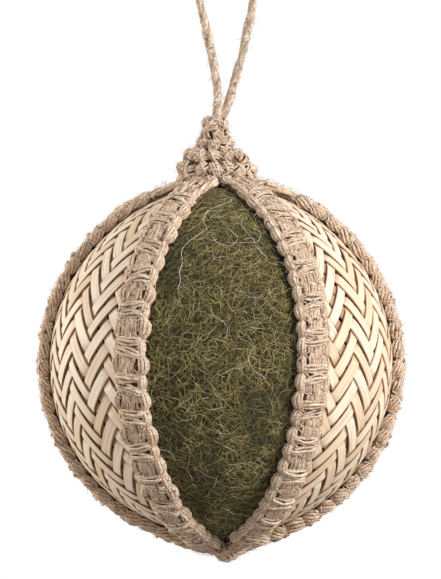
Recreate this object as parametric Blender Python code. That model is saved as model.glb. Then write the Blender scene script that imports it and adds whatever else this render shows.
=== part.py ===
"""Hanging bauble: a wool-felt ball under three woven rattan panels, six knotted jute bands and a loop.

Units are metres and +Z is up. The front of the bauble faces -Y. The origin is the point inside the top of the
loop where a hook or a twig holds it, and the ball hangs straight below.

An azimuth is an angle about the ball's own axis, 0 at the front and growing to the right. A polar angle is
measured at the ball's centre, 0 at the crown and pi at the bottom knot.
"""
import math

import bmesh
import bpy
from mathutils import Vector
from mathutils.geometry import interpolate_bezier

# Room kept between two pieces that touch
GAP = 0.0003

# Felt ball, pulled to a slight point at both ends
FELT_RADIUS = 0.0460
BED_DEPTH = 0.0017
TOP_RISE = 0.0022
TOP_SPREAD = math.radians(33)
BOTTOM_RISE = 0.0028
BOTTOM_SPREAD = math.radians(12)

# Width of a gore where it ends beside the crown and the bottom knot
TIP_WIDTH = 0.0009

# Jute bands along the meridians, one to each side of every gore
BAND_COUNT = 6
BAND_HALF_WIDTH = 0.0046
BAND_WAIST = 0.0007
BAND_PROUD = 0.0042
BLOCK_CREST = 0.0026
WRAP_CREST = 0.0036
WRAP_STEP = 0.0006
KNOT_PITCH = 0.0091
STATIONS_PER_KNOT = 4

# Woven rattan panels in every other gore
PANEL_PROUD = 0.0004
PANEL_GAP_DEPTH = 0.0009
ROW_PITCH = 0.0065
COLUMN_WIDTH = 0.0077
STRIP_WIDTH = 0.0028
CROSSINGS_PER_FLOAT = 3
COLUMN_TAPER = 0.33
WEAVE_LATITUDE = math.radians(89.5)

# Knotted crown on top of the ball
CROWN_RADIUS = 0.0102
CROWN_NECK_RADIUS = 0.0036
CROWN_HEIGHT = 0.0189
CROWN_SHIFT = 0.0015
CROWN_KNOTS_IN_ROW = (12, 12, 8, 6, 4)
CROWN_KNOT_DEPTH = 0.0016

# Knot under the ball where the bands start
BOTTOM_KNOT_RADIUS = 0.0068
BOTTOM_KNOT_DEPTH = 0.0060
BOTTOM_KNOT_LOBES = 6

# Hanging loop of twisted jute
CORD_DIAMETER = 0.0024
LOOP_HEIGHT = 0.0522
LOOP_STATIONS = 24

# Facets
BALL_SEGMENTS = 24
BALL_RINGS = 12
CROWN_SEGMENTS = 24
SEGMENTS_PER_LOBE = 3

# Places that follow from the sizes above
HALF_GORE = math.pi / BAND_COUNT
BED_RADIUS = FELT_RADIUS - BED_DEPTH
PIECE_RADIUS = BED_RADIUS + GAP
GORE_EDGE = BAND_HALF_WIDTH + GAP
GORE_TIP = GORE_EDGE / math.sin(HALF_GORE)
CROWN_BASE = math.sqrt((FELT_RADIUS + PANEL_PROUD + TOP_RISE) ** 2 - GORE_TIP ** 2) + GAP
CROWN_TOP = CROWN_BASE + CROWN_HEIGHT
LOOP_TOP = CROWN_TOP + LOOP_HEIGHT
CENTRE = Vector((0, 0, -(LOOP_TOP - CORD_DIAMETER / 2)))


def rise(polar):
    """How far the ball stands out beyond a true sphere at a polar angle."""
    top = TOP_RISE * math.exp(-((polar / TOP_SPREAD) ** 2))
    bottom = BOTTOM_RISE * math.exp(-(((math.pi - polar) / BOTTOM_SPREAD) ** 2))
    return top + bottom


def on_ball(azimuth, polar, radius):
    """A point at an azimuth and a polar angle, on the surface that has this radius at the equator."""
    reach = radius + rise(polar)
    return CENTRE + Vector((
        reach * math.sin(polar) * math.sin(azimuth),
        -reach * math.sin(polar) * math.cos(azimuth),
        reach * math.cos(polar),
    ))


def smooth_step(low, high, value):
    """A soft change from 0 at low to 1 at high."""
    share = min(max((value - low) / (high - low), 0.0), 1.0)
    return share * share * (3 - 2 * share)


def material(name, colour, roughness):
    """A Principled material of one colour."""
    made = bpy.data.materials.new(name)
    made.use_nodes = True
    shader = made.node_tree.nodes["Principled BSDF"]
    shader.inputs["Base Color"].default_value = (*colour, 1)
    shader.inputs["Roughness"].default_value = roughness
    shader.inputs["Metallic"].default_value = 0
    return made


def add_object(name, bm, finish, sharp_angle=math.radians(40)):
    """Turn a bmesh into a named object with its faces pointing out."""
    bmesh.ops.recalc_face_normals(bm, faces=bm.faces)
    mesh = bpy.data.meshes.new(name)
    bm.to_mesh(mesh)
    bm.free()
    mesh.shade_smooth()
    mesh.set_sharp_from_angle(angle=sharp_angle)
    mesh.materials.append(finish)
    made = bpy.data.objects.new(name, mesh)
    bpy.context.scene.collection.objects.link(made)
    return made


def add_guide(name, bm):
    """A closed shape that only cuts or joins other pieces."""
    bmesh.ops.recalc_face_normals(bm, faces=bm.faces)
    mesh = bpy.data.meshes.new(name)
    bm.to_mesh(mesh)
    bm.free()
    guide = bpy.data.objects.new(name, mesh)
    bpy.context.scene.collection.objects.link(guide)
    guide.hide_render = True
    guide.display_type = "WIRE"
    return guide


def combine(made, guide, operation):
    """Add a Boolean of a guide to a piece."""
    change = made.modifiers.new(guide.name, "BOOLEAN")
    change.operation = operation
    change.solver = "EXACT"
    change.object = guide
    return change


def bridge(bm, lower, upper):
    """Faces between two rings of as many points."""
    count = len(lower)
    for index in range(count):
        after = (index + 1) % count
        bm.faces.new((lower[index], lower[after], upper[after], upper[index]))


def ball_mesh(radius, segments, rings):
    """The ball's form at a radius, closed at both poles."""
    bm = bmesh.new()
    loops = []
    for ring in range(1, rings):
        polar = math.pi * ring / rings
        turns = [math.tau * index / segments for index in range(segments)]
        loops.append([bm.verts.new(on_ball(turn, polar, radius)) for turn in turns])
    for upper, lower in zip(loops, loops[1:]):
        bridge(bm, lower, upper)
    for polar, ring in ((0.0, loops[0]), (math.pi, loops[-1])):
        pole = bm.verts.new(on_ball(0, polar, radius))
        for index in range(segments):
            bm.faces.new((pole, ring[index], ring[(index + 1) % segments]))
    return bm


def gore_wedge(azimuth):
    """A tall prism that fills a gore from band edge to band edge, blunt at its tip."""
    far = 3 * FELT_RADIUS
    outward = Vector((math.sin(azimuth), -math.cos(azimuth)))
    sideways = Vector((math.cos(azimuth), math.sin(azimuth)))
    corners = []
    for half_width, side in ((TIP_WIDTH / 2, 1), (far, 1), (far, -1), (TIP_WIDTH / 2, -1)):
        reach = GORE_TIP + half_width / math.tan(HALF_GORE)
        corners.append(reach * outward + side * half_width * sideways)
    bm = bmesh.new()
    lower = [bm.verts.new((x, y, CENTRE.z - far)) for x, y in corners]
    upper = [bm.verts.new((x, y, CENTRE.z + far)) for x, y in corners]
    bridge(bm, lower, upper)
    bm.faces.new(lower)
    bm.faces.new(upper)
    return bm


def make_felt_ball(finish):
    """The felt ball: full round in its own gores, pressed in under the bands and the panels."""
    ball = add_object("felt_ball", ball_mesh(BED_RADIUS, BALL_SEGMENTS, BALL_RINGS), finish)
    for index in range(0, BAND_COUNT, 2):
        azimuth = 2 * HALF_GORE * index
        swell = add_guide(f"felt_swell_{index}", ball_mesh(FELT_RADIUS, BALL_SEGMENTS, BALL_RINGS))
        combine(swell, add_guide(f"felt_gore_{index}", gore_wedge(azimuth)), "INTERSECT")
        combine(ball, swell, "UNION")
    return ball


def lattice_point(azimuth, across, along, radius):
    """A point of the weave, counted in half steps across and along the gore from its middle."""
    latitude = along * ROW_PITCH / 2 / FELT_RADIUS
    step = COLUMN_WIDTH / CROSSINGS_PER_FLOAT / FELT_RADIUS
    turn = (across + 0.5) * step / max(math.cos(latitude), 0.05) ** COLUMN_TAPER
    return on_ball(azimuth + turn, math.pi / 2 - latitude, radius)


def add_float(bm, cache, azimuth, across, along, lean):
    """One visible length of a strip: a raised bar over the crossings it covers.

    lean is 1 for a strip that climbs to the right and -1 for one that falls.
    """
    top_radius = FELT_RADIUS + PANEL_PROUD
    low_radius = top_radius - PANEL_GAP_DEPTH
    count = CROSSINGS_PER_FLOAT

    def low(step_across, step_along):
        key = (across + step_across, along + lean * step_along)
        if key not in cache:
            cache[key] = bm.verts.new(lattice_point(azimuth, key[0], key[1], low_radius))
        return cache[key]

    # The bar's outline runs along its lower side and back along its upper side
    right = [low(step, step - 1) for step in range(count + 1)]
    left = [low(step - 1, step) for step in range(count + 1)]
    half_step_across = COLUMN_WIDTH / CROSSINGS_PER_FLOAT
    pitch = ROW_PITCH * half_step_across / math.hypot(half_step_across, ROW_PITCH / 2)
    share = STRIP_WIDTH / pitch
    inset = 0.5 * (1 - share)

    def high(along_strip, side):
        """A corner of the bar's top, by its place along the strip and its side."""
        middle_across = across - 0.5 + along_strip
        middle_along = along - lean * 0.5 + lean * along_strip
        spread = side * (0.5 - inset)
        place = (middle_across + spread, middle_along - lean * spread)
        return bm.verts.new(lattice_point(azimuth, *place, top_radius))

    near, far = inset, count - inset
    top = [high(near, 1), high(far, 1), high(far, -1), high(near, -1)]
    bm.faces.new(top)
    half = (count + 1) // 2
    for start in range(count):
        inner_right = top[0] if start < half else top[1]
        inner_left = top[3] if start < half else top[2]
        bm.faces.new((right[start], right[start + 1], inner_right))
        bm.faces.new((left[start + 1], left[start], inner_left))
    bm.faces.new((right[half], top[1], top[0]))
    bm.faces.new((left[half], top[3], top[2]))
    bm.faces.new((right[0], top[0], top[3], left[0]))
    bm.faces.new((right[count], left[count], top[2], top[1]))


def woven_mesh(azimuth, peak):
    """A patch of herringbone, wider than its gore, closed to the ball's centre.

    peak is True where two columns meet in a point upwards along the gore's middle, and False where they meet
    in a point downwards.
    """
    bm = bmesh.new()
    cache = {}
    last_row = int(WEAVE_LATITUDE / (ROW_PITCH / 2 / FELT_RADIUS))
    columns = int(math.ceil(HALF_GORE / (COLUMN_WIDTH / CROSSINGS_PER_FLOAT / FELT_RADIUS))) + 1
    for across in range(-columns - CROSSINGS_PER_FLOAT, columns):
        column, rest = divmod(across, CROSSINGS_PER_FLOAT)
        if rest:
            continue
        lean = 1 if (column % 2 == 1) == peak else -1
        for along in range(-last_row, last_row + 1):
            ends = (along - lean, along + lean * CROSSINGS_PER_FLOAT)
            if (across + along) % 2 == 0 and max(map(abs, ends)) <= last_row:
                add_float(bm, cache, azimuth, across, along, lean)
    bmesh.ops.recalc_face_normals(bm, faces=bm.faces)
    middle = bm.verts.new(CENTRE)
    for edge in [edge for edge in bm.edges if edge.is_boundary]:
        bm.faces.new((*edge.verts, middle))
    return bm


def make_rattan_panel(index, finish):
    """A woven panel that fills a gore between two bands."""
    azimuth = 2 * HALF_GORE * (2 * index + 1)
    panel = add_object(f"rattan_panel_{index + 1}", woven_mesh(azimuth, peak=index != 0), finish, math.radians(20))
    combine(panel, add_guide(f"panel_gore_{index}", gore_wedge(azimuth)), "INTERSECT")
    combine(panel, add_guide(f"panel_bed_{index}", ball_mesh(PIECE_RADIUS, BALL_SEGMENTS, BALL_RINGS)), "DIFFERENCE")
    return panel


def knot_profile(place):
    """Half width, height and half width of the crest of a band at a place along it, counted in knots.

    Whole numbers are the middle of a block of lengthwise strands, a narrow crest between wide side loops.
    Halves are the wraps that cross it, which stand highest and are nearly flat from side to side.
    """
    waist = BAND_WAIST * (0.5 - 0.5 * math.cos(2 * math.tau * place))
    wrap = 0.5 - 0.5 * math.cos(math.tau * place)
    half_width = BAND_HALF_WIDTH - waist - 0.4 * BAND_WAIST * wrap
    height = BAND_PROUD - waist - WRAP_STEP * (1 - wrap)
    crest = BLOCK_CREST + (WRAP_CREST - BLOCK_CREST) * wrap
    return half_width, height, min(crest, half_width)


def polar_at(distance, radius, from_pole):
    """The polar angle where the surface of this radius is a distance from the ball's axis."""
    low, high = 0.0, math.pi / 2
    for _ in range(40):
        middle = (low + high) / 2
        polar = middle if from_pole == "top" else math.pi - middle
        if (radius + rise(polar)) * math.sin(middle) < distance:
            low = middle
        else:
            high = middle
    return low if from_pole == "top" else math.pi - low


def crown_reach(azimuth):
    """How far the crown's foot reaches from the ball's axis in one direction."""
    shift = -CROWN_SHIFT * math.sin(azimuth)
    side = CROWN_SHIFT * math.cos(azimuth)
    return shift + math.sqrt(CROWN_RADIUS ** 2 - side ** 2)


def make_band(index, finish):
    """A band of square knots from the bottom knot up to the crown, with a wrap at either end."""
    azimuth = 2 * HALF_GORE * (index + 0.5)
    sideways = Vector((math.cos(azimuth), math.sin(azimuth), 0))
    foot = BOTTOM_KNOT_RADIUS + GAP
    head = crown_reach(azimuth) + 2 * GAP
    length = FELT_RADIUS * (polar_at(foot, FELT_RADIUS, "bottom") - polar_at(head, FELT_RADIUS, "top"))
    knots = max(round(length / KNOT_PITCH), 2)
    stations = knots * STATIONS_PER_KNOT
    bm = bmesh.new()
    rings = []
    for station in range(stations + 1):
        half_width, height, crest = knot_profile(0.5 + station / STATIONS_PER_KNOT)
        corners = (
            (-half_width, PIECE_RADIUS),
            (-crest, FELT_RADIUS + height),
            (crest, FELT_RADIUS + height),
            (half_width, PIECE_RADIUS),
        )
        ring = []
        for across, radius in corners:
            # Both ends stand upright, so that they face the knot below and the crown above
            start = polar_at(foot, radius, "bottom")
            polar = start + (polar_at(head, radius, "top") - start) * station / stations
            point = on_ball(azimuth, polar, radius)
            room = math.hypot(point.x, point.y) * math.tan(HALF_GORE) - GAP
            ring.append(bm.verts.new(point + max(min(across, room), -room) * sideways))
        rings.append(ring)
    for lower, upper in zip(rings, rings[1:]):
        bridge(bm, lower, upper)
    bm.faces.new(rings[0])
    bm.faces.new(rings[-1])
    return add_object(f"jute_band_{index + 1}", bm, finish)


def crown_radius(height):
    """The crown's mean radius at a height above its foot: a broad skirt, then a neck."""
    share = height / CROWN_HEIGHT
    return CROWN_RADIUS + (CROWN_NECK_RADIUS - CROWN_RADIUS) * smooth_step(0.18, 0.76, share)


def crown_middle(height):
    """The middle of the crown at a height: it sits a little to the left of the ball's axis."""
    return CENTRE + Vector((-CROWN_SHIFT, 0, CROWN_BASE + height))


def make_crown(finish):
    """The crown: rows of jute knots heaped to a neck."""
    bm = bmesh.new()
    rows = len(CROWN_KNOTS_IN_ROW)
    row_height = CROWN_HEIGHT / rows
    rings = []
    for row, knots in enumerate(CROWN_KNOTS_IN_ROW):
        for share in (0.0, 0.5):
            height = (row + share) * row_height
            ring = []
            for index in range(CROWN_SEGMENTS):
                turn = math.tau * index / CROWN_SEGMENTS
                lobe = 0.5 + 0.5 * math.cos(knots * turn + math.pi * row)
                depth = CROWN_KNOT_DEPTH * (0.6 * (1 - lobe) if share else 1.0)
                if row == 0 and not share:
                    depth = 0.3 * CROWN_KNOT_DEPTH
                reach = crown_radius(height) - depth
                across = Vector((math.sin(turn), -math.cos(turn), 0))
                ring.append(bm.verts.new(crown_middle(height) + reach * across))
            rings.append(ring)
    top = []
    for index in range(CROWN_SEGMENTS):
        turn = math.tau * index / CROWN_SEGMENTS
        across = Vector((math.sin(turn), -math.cos(turn), 0))
        top.append(bm.verts.new(crown_middle(CROWN_HEIGHT) + 0.8 * CROWN_NECK_RADIUS * across))
    rings.append(top)
    for lower, upper in zip(rings, rings[1:]):
        bridge(bm, lower, upper)
    bm.faces.new(rings[0])
    bm.faces.new(rings[-1])
    return add_object("jute_crown", bm, finish)


def make_bottom_knot(finish):
    """The knot that the bands start from, a low lobed cone under the ball."""
    face = BED_RADIUS + BOTTOM_RISE + GAP
    shape = ((0.94, 0.0), (1.0, 0.35), (0.84, 0.66), (0.45, 0.88))
    segments = SEGMENTS_PER_LOBE * BOTTOM_KNOT_LOBES
    bm = bmesh.new()
    rings = []
    for width, depth in shape:
        ring = []
        for index in range(segments):
            turn = math.tau * index / segments
            lobe = 0.96 + 0.04 * math.cos(BOTTOM_KNOT_LOBES * turn + math.pi)
            reach = BOTTOM_KNOT_RADIUS * width * lobe
            ring.append(bm.verts.new(CENTRE + Vector((
                reach * math.sin(turn), -reach * math.cos(turn), -face - BOTTOM_KNOT_DEPTH * depth))))
        rings.append(ring)
    for upper, lower in zip(rings, rings[1:]):
        bridge(bm, lower, upper)
    tip = bm.verts.new(CENTRE + Vector((0, 0, -face - BOTTOM_KNOT_DEPTH)))
    for index in range(segments):
        bm.faces.new((tip, rings[-1][index], rings[-1][(index + 1) % segments]))
    bm.faces.new(rings[0])
    return add_object("bottom_knot", bm, finish)


def loop_route():
    """Points of the loop as places in millimetres across and above the crown, and its depth.

    The two strands leave the crown side by side, one behind the other. The top, past the photograph's edge,
    closes in a round arch that a hook holds.
    """
    return (
        (-1.3, 0.0, -1.1), (-1.1, 3.2, -0.9), (-1.0, 7.0, -0.5), (-1.9, 13.2, -0.2), (-3.5, 21.5, 0.0),
        (-5.2, 28.8, 0.0), (-6.7, 35.6, 0.0), (-7.4, 41.3, 0.0), (-6.4, 47.0, 0.0), (-3.6, 51.0, 0.0),
        (0.0, 52.2, 0.0), (3.9, 51.3, 0.0), (7.4, 48.0, 0.0), (9.2, 42.3, 0.0), (9.0, 35.3, 0.0),
        (8.2, 28.8, 0.0), (7.0, 23.3, 0.0), (5.8, 17.4, 0.1), (4.3, 12.2, 0.3), (3.0, 7.7, 0.6),
        (1.6, 3.0, 0.9), (0.3, 0.0, 1.1),
    )


def through(points, count):
    """Evenly shared places along a smooth curve through some points."""
    fine = []
    for index in range(len(points) - 1):
        before = points[max(index - 1, 0)]
        start, end = points[index], points[index + 1]
        after = points[min(index + 2, len(points) - 1)]
        first = start + (end - before) / 6
        second = end - (after - start) / 6
        fine += interpolate_bezier(start, first, second, end, 12)[:-1]
    fine.append(points[-1])
    travelled = [0.0]
    for start, end in zip(fine, fine[1:]):
        travelled.append(travelled[-1] + (end - start).length)
    places = []
    index = 0
    for step in range(count):
        goal = travelled[-1] * step / (count - 1)
        while index < len(fine) - 2 and travelled[index + 1] < goal:
            index += 1
        share = (goal - travelled[index]) / (travelled[index + 1] - travelled[index])
        places.append(fine[index].lerp(fine[index + 1], share))
    return places


def make_loop(finish):
    """The hanging loop, a round tube from the crown and back into it."""
    foot = CENTRE + Vector((0, 0, CROWN_TOP + GAP))
    scale = (LOOP_HEIGHT - GAP) / max(up for _, up, _ in loop_route())
    route = [
        foot + Vector((across * 0.001, depth * 0.001, up * scale)) for across, up, depth in loop_route()
    ]
    curve = bpy.data.curves.new("hanging_loop", "CURVE")
    curve.dimensions = "3D"
    curve.bevel_depth = CORD_DIAMETER / 2
    curve.bevel_resolution = 2
    curve.use_fill_caps = True
    places = through(route, LOOP_STATIONS)
    spline = curve.splines.new("POLY")
    spline.points.add(len(places) - 1)
    for point, place in zip(spline.points, places):
        point.co = (*place, 1)
    curve.materials.append(finish)
    loop = bpy.data.objects.new("hanging_loop", curve)
    bpy.context.scene.collection.objects.link(loop)
    return loop


def main():
    for old in list(bpy.data.objects):
        bpy.data.objects.remove(old, do_unlink=True)
    make_felt_ball(material("moss_felt", (0.105, 0.088, 0.035), 1.0))
    rattan = material("peeled_rattan", (0.70, 0.56, 0.38), 0.55)
    band_finish = material("jute_bands", (0.46, 0.34, 0.24), 0.95)
    knot_finish = material("jute_knots", (0.42, 0.31, 0.22), 0.95)
    for index in range(BAND_COUNT // 2):
        make_rattan_panel(index, rattan)
    for index in range(BAND_COUNT):
        make_band(index, band_finish)
    make_crown(knot_finish)
    make_bottom_knot(knot_finish)
    make_loop(material("jute_cord", (0.52, 0.40, 0.29), 0.95))


main()
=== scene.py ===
"""Looks of a hanging ball of moss-green wool felt, woven rattan and knotted jute.

Everything is in metres in the frame of the solids: +Z is up, the front faces -Y and the origin lies inside
the top of the hanging loop. An azimuth is an angle about the ball's own axis, 0 at the front and growing to
the right. A polar angle is measured at the ball's centre, 0 at the crown and pi at the knot below.
"""
import logging
import math
import random
from dataclasses import dataclass, field
from enum import Enum
from functools import cached_property, partial, reduce
from typing import Sequence

import bpy
import numpy as np
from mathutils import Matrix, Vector, noise
from mathutils.geometry import interpolate_bezier

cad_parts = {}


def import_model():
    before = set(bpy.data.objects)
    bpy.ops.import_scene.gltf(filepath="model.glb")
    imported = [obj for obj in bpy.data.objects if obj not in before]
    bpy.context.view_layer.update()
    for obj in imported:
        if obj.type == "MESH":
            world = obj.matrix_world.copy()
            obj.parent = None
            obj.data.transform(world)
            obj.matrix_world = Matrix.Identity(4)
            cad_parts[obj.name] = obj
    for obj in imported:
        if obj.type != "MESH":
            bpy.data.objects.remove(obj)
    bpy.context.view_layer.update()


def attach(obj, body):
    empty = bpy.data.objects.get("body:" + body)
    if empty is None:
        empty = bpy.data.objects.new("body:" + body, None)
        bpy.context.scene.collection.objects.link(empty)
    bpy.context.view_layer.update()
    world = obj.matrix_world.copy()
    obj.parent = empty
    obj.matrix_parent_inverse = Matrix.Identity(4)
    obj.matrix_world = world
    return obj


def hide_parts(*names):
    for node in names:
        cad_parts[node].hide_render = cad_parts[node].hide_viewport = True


log = logging.getLogger("ornament")

Object = bpy.types.Object
Material = bpy.types.Material
Socket = bpy.types.NodeSocket
Tree = bpy.types.NodeTree
Colour = tuple[float, float, float, float]

MM = 0.001


def mm(*values: float) -> tuple[float, ...]:
    """Lengths in millimetres turned into metres."""
    return tuple(value * MM for value in values)


def smooth_step(low: float, high: float, value: float) -> float:
    """A soft change from 0 at low to 1 at high."""
    share = min(max((value - low) / (high - low), 0.0), 1.0)
    return share * share * (3 - 2 * share)


def bell(value: float, middle: float, width: float) -> float:
    """A soft hill that is 1 at its middle."""
    return math.exp(-(((value - middle) / width) ** 2))


def facing(azimuth: float, up: float = 0.0) -> Vector:
    """The direction of an azimuth, with some rise."""
    return Vector((math.sin(azimuth), -math.cos(azimuth), up))


def linear(red: int, green: int, blue: int) -> Colour:
    """A colour as it is seen on a screen, turned into the linear colour that shaders take."""
    parts = [value / 255 for value in (red, green, blue)]
    return (*(part / 12.92 if part <= 0.04045 else ((part + 0.055) / 1.055) ** 2.4 for part in parts), 1.0)


# The ball's form


@dataclass(frozen=True)
class BallForm:
    """The ball that everything lies on, pulled to a slight point at both ends."""

    felt_radius: float = 46.0 * MM
    bed_depth: float = 1.7 * MM
    top_rise: float = 2.2 * MM
    top_spread: float = math.radians(33)
    bottom_rise: float = 2.8 * MM
    bottom_spread: float = math.radians(12)
    half_gore: float = math.pi / 6
    panel_proud: float = 0.4 * MM
    gap: float = 0.3 * MM
    gore_tip: float = 9.8 * MM
    crown_height: float = 18.9 * MM
    crown_radius: float = 10.2 * MM
    crown_neck: float = 3.6 * MM
    crown_shift: float = 1.5 * MM
    loop_height: float = 52.2 * MM
    cord_diameter: float = 2.4 * MM

    @property
    def bed_radius(self) -> float:
        """Radius of the ball under the bands and the panels."""
        return self.felt_radius - self.bed_depth

    @property
    def crown_base(self) -> float:
        """Height of the crown's foot above the ball's centre."""
        tip = self.felt_radius + self.panel_proud + self.top_rise
        return math.sqrt(tip ** 2 - self.gore_tip ** 2) + self.gap

    @property
    def crown_top(self) -> float:
        """Height of the crown's top above the ball's centre."""
        return self.crown_base + self.crown_height

    @property
    def centre(self) -> Vector:
        """The ball's centre."""
        return Vector((0, 0, -(self.crown_top + self.loop_height - self.cord_diameter / 2)))

    def rise(self, polar: float) -> float:
        """How far the ball stands out beyond a true sphere at a polar angle."""
        top = self.top_rise * bell(polar, 0.0, self.top_spread)
        return top + self.bottom_rise * bell(polar, math.pi, self.bottom_spread)

    def place(self, azimuth: float, polar: float, radius: float) -> Vector:
        """A point of a surface round the ball.

        Args:
            azimuth: Its direction.
            polar: Its polar angle.
            radius: Radius of the surface at the equator.

        Returns:
            The point.
        """
        reach = radius + self.rise(polar)
        return self.centre + Vector((
            reach * math.sin(polar) * math.sin(azimuth),
            -reach * math.sin(polar) * math.cos(azimuth),
            reach * math.cos(polar),
        ))

    def seen_at(self, across: float, up: float, radius: float) -> Vector:
        """The point of the front half of a round that shows at a place across and above the centre."""
        depth = math.sqrt(max(radius ** 2 - across ** 2 - up ** 2, 0.0))
        return self.centre + Vector((across, -depth, up))

    def outward(self, point: Vector) -> Vector:
        """The direction away from the ball's centre at a point."""
        return (point - self.centre).normalized()

    def polar_at(self, distance: float, radius: float, at_top: bool) -> float:
        """The polar angle where the surface of a radius is a distance from the ball's axis.

        Args:
            distance: Distance from the axis.
            radius: Radius of the surface at the equator.
            at_top: True for the place near the crown, False for the one near the knot below.

        Returns:
            The polar angle.
        """
        low, high = 0.0, math.pi / 2
        for _ in range(40):
            middle = (low + high) / 2
            polar = middle if at_top else math.pi - middle
            if (radius + self.rise(polar)) * math.sin(middle) < distance:
                low = middle
            else:
                high = middle
        return low if at_top else math.pi - low

    def crown_reach(self, azimuth: float) -> float:
        """How far the crown's foot reaches from the ball's axis in one direction."""
        side = self.crown_shift * math.cos(azimuth)
        return -self.crown_shift * math.sin(azimuth) + math.sqrt(self.crown_radius ** 2 - side ** 2)

    def crown_girth(self, height: float) -> float:
        """The crown's radius at a height above its foot."""
        share = smooth_step(0.18, 0.76, height / self.crown_height)
        return self.crown_radius + (self.crown_neck - self.crown_radius) * share


# Strand routes and grounds


@dataclass
class Route:
    """The middle line of one strand or strip, with what its tree reads at each point."""

    points: list[Vector]
    thick: list[float]
    # Tone 0 marks a hidden filler or core, which the jute finish paints dark brown as painted shade
    tone: float = 0.5
    lay: list[Vector] = field(default_factory=list)
    dip: list[float] = field(default_factory=list)


def even(points: list[Vector], radius: float, tone: float) -> Route:
    """A route of one radius all along."""
    return Route(points, [radius] * len(points), tone)


def through(points: Sequence[Vector], count: int) -> list[Vector]:
    """Evenly shared places along a smooth curve through some points.

    Args:
        points: The points that the curve goes through.
        count: How many places are wanted.

    Returns:
        The places, from the first point to the last.
    """
    fine = []
    for index in range(len(points) - 1):
        before = points[max(index - 1, 0)]
        start, end = points[index], points[index + 1]
        after = points[min(index + 2, len(points) - 1)]
        fine += interpolate_bezier(start, start + (end - before) / 6, end - (after - start) / 6, end, 12)[:-1]
    fine.append(points[-1])
    line = np.array([tuple(point) for point in fine])
    travelled = np.concatenate([[0.0], np.cumsum(np.linalg.norm(np.diff(line, axis=0), axis=1))])
    goals = np.linspace(0.0, travelled[-1], count)
    places = zip(*(np.interp(goals, travelled, line[:, axis]) for axis in range(3)))
    return [Vector(place) for place in places]


def route_length(points: Sequence[Vector]) -> float:
    """Length of a line through points."""
    return sum((end - start).length for start, end in zip(points, points[1:]))


def strand(points: Sequence[Vector], radius: float, step: float, tone: float) -> Route:
    """A strand of one radius along a smooth curve, with a point at about every step of it."""
    count = max(round(route_length(points) / step), 4)
    return even(through(points, count), radius, tone)


def link(name: str, data: bpy.types.ID) -> Object:
    """Put a mesh, a camera or a light into the scene.

    Args:
        name: Name of its object.
        data: The mesh, the camera or the light.

    Returns:
        The object.
    """
    made = bpy.data.objects.new(name, data)
    bpy.context.scene.collection.objects.link(made)
    return made


def route_object(name: str, routes: Sequence[Route]) -> Object:
    """Chains of edges, one for each route, with thickness, tone, lay and dip stored on their points.

    Args:
        name: Name of the object.
        routes: The routes.

    Returns:
        The object, linked to the scene.
    """
    edges, start = [], 0
    for route in routes:
        end = start + len(route.points)
        edges += zip(range(start, end - 1), range(start + 1, end))
        start = end
    mesh = bpy.data.meshes.new(name)
    mesh.from_pydata([point for route in routes for point in route.points], edges, [])
    stored = {
        "thick": [value for route in routes for value in route.thick],
        "tone": [route.tone for route in routes for _ in route.points],
        "dip": [value for route in routes for value in (route.dip or [0.0] * len(route.points))],
    }
    for label, values in stored.items():
        mesh.attributes.new(label, "FLOAT", "POINT").data.foreach_set("value", values)
    lay = [axis for route in routes for way in (route.lay or [(0, 0, 1)] * len(route.points)) for axis in way]
    mesh.attributes.new("lay", "FLOAT_VECTOR", "POINT").data.foreach_set("vector", lay)
    return link(name, mesh)


def ground(name: str, points: list[Vector], stride: int, downward: bool) -> Object:
    """A sheet of four-sided faces over rows of points, which fibres are sown on.

    Args:
        name: Name of the object.
        points: The points, row after row and each row from left to right as seen from outside.
        stride: How many points a row has.
        downward: True where the rows follow one another downwards.

    Returns:
        The sheet.
    """
    faces = []
    for start in range(0, len(points) - stride, stride):
        for corner in range(start, start + stride - 1):
            beside, across, along = corner + 1, corner + stride + 1, corner + stride
            faces.append((corner, along, across, beside) if downward else (corner, beside, across, along))
    mesh = bpy.data.meshes.new(name)
    mesh.from_pydata(points, [], faces)
    return link(name, mesh)


# Node trees


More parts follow.
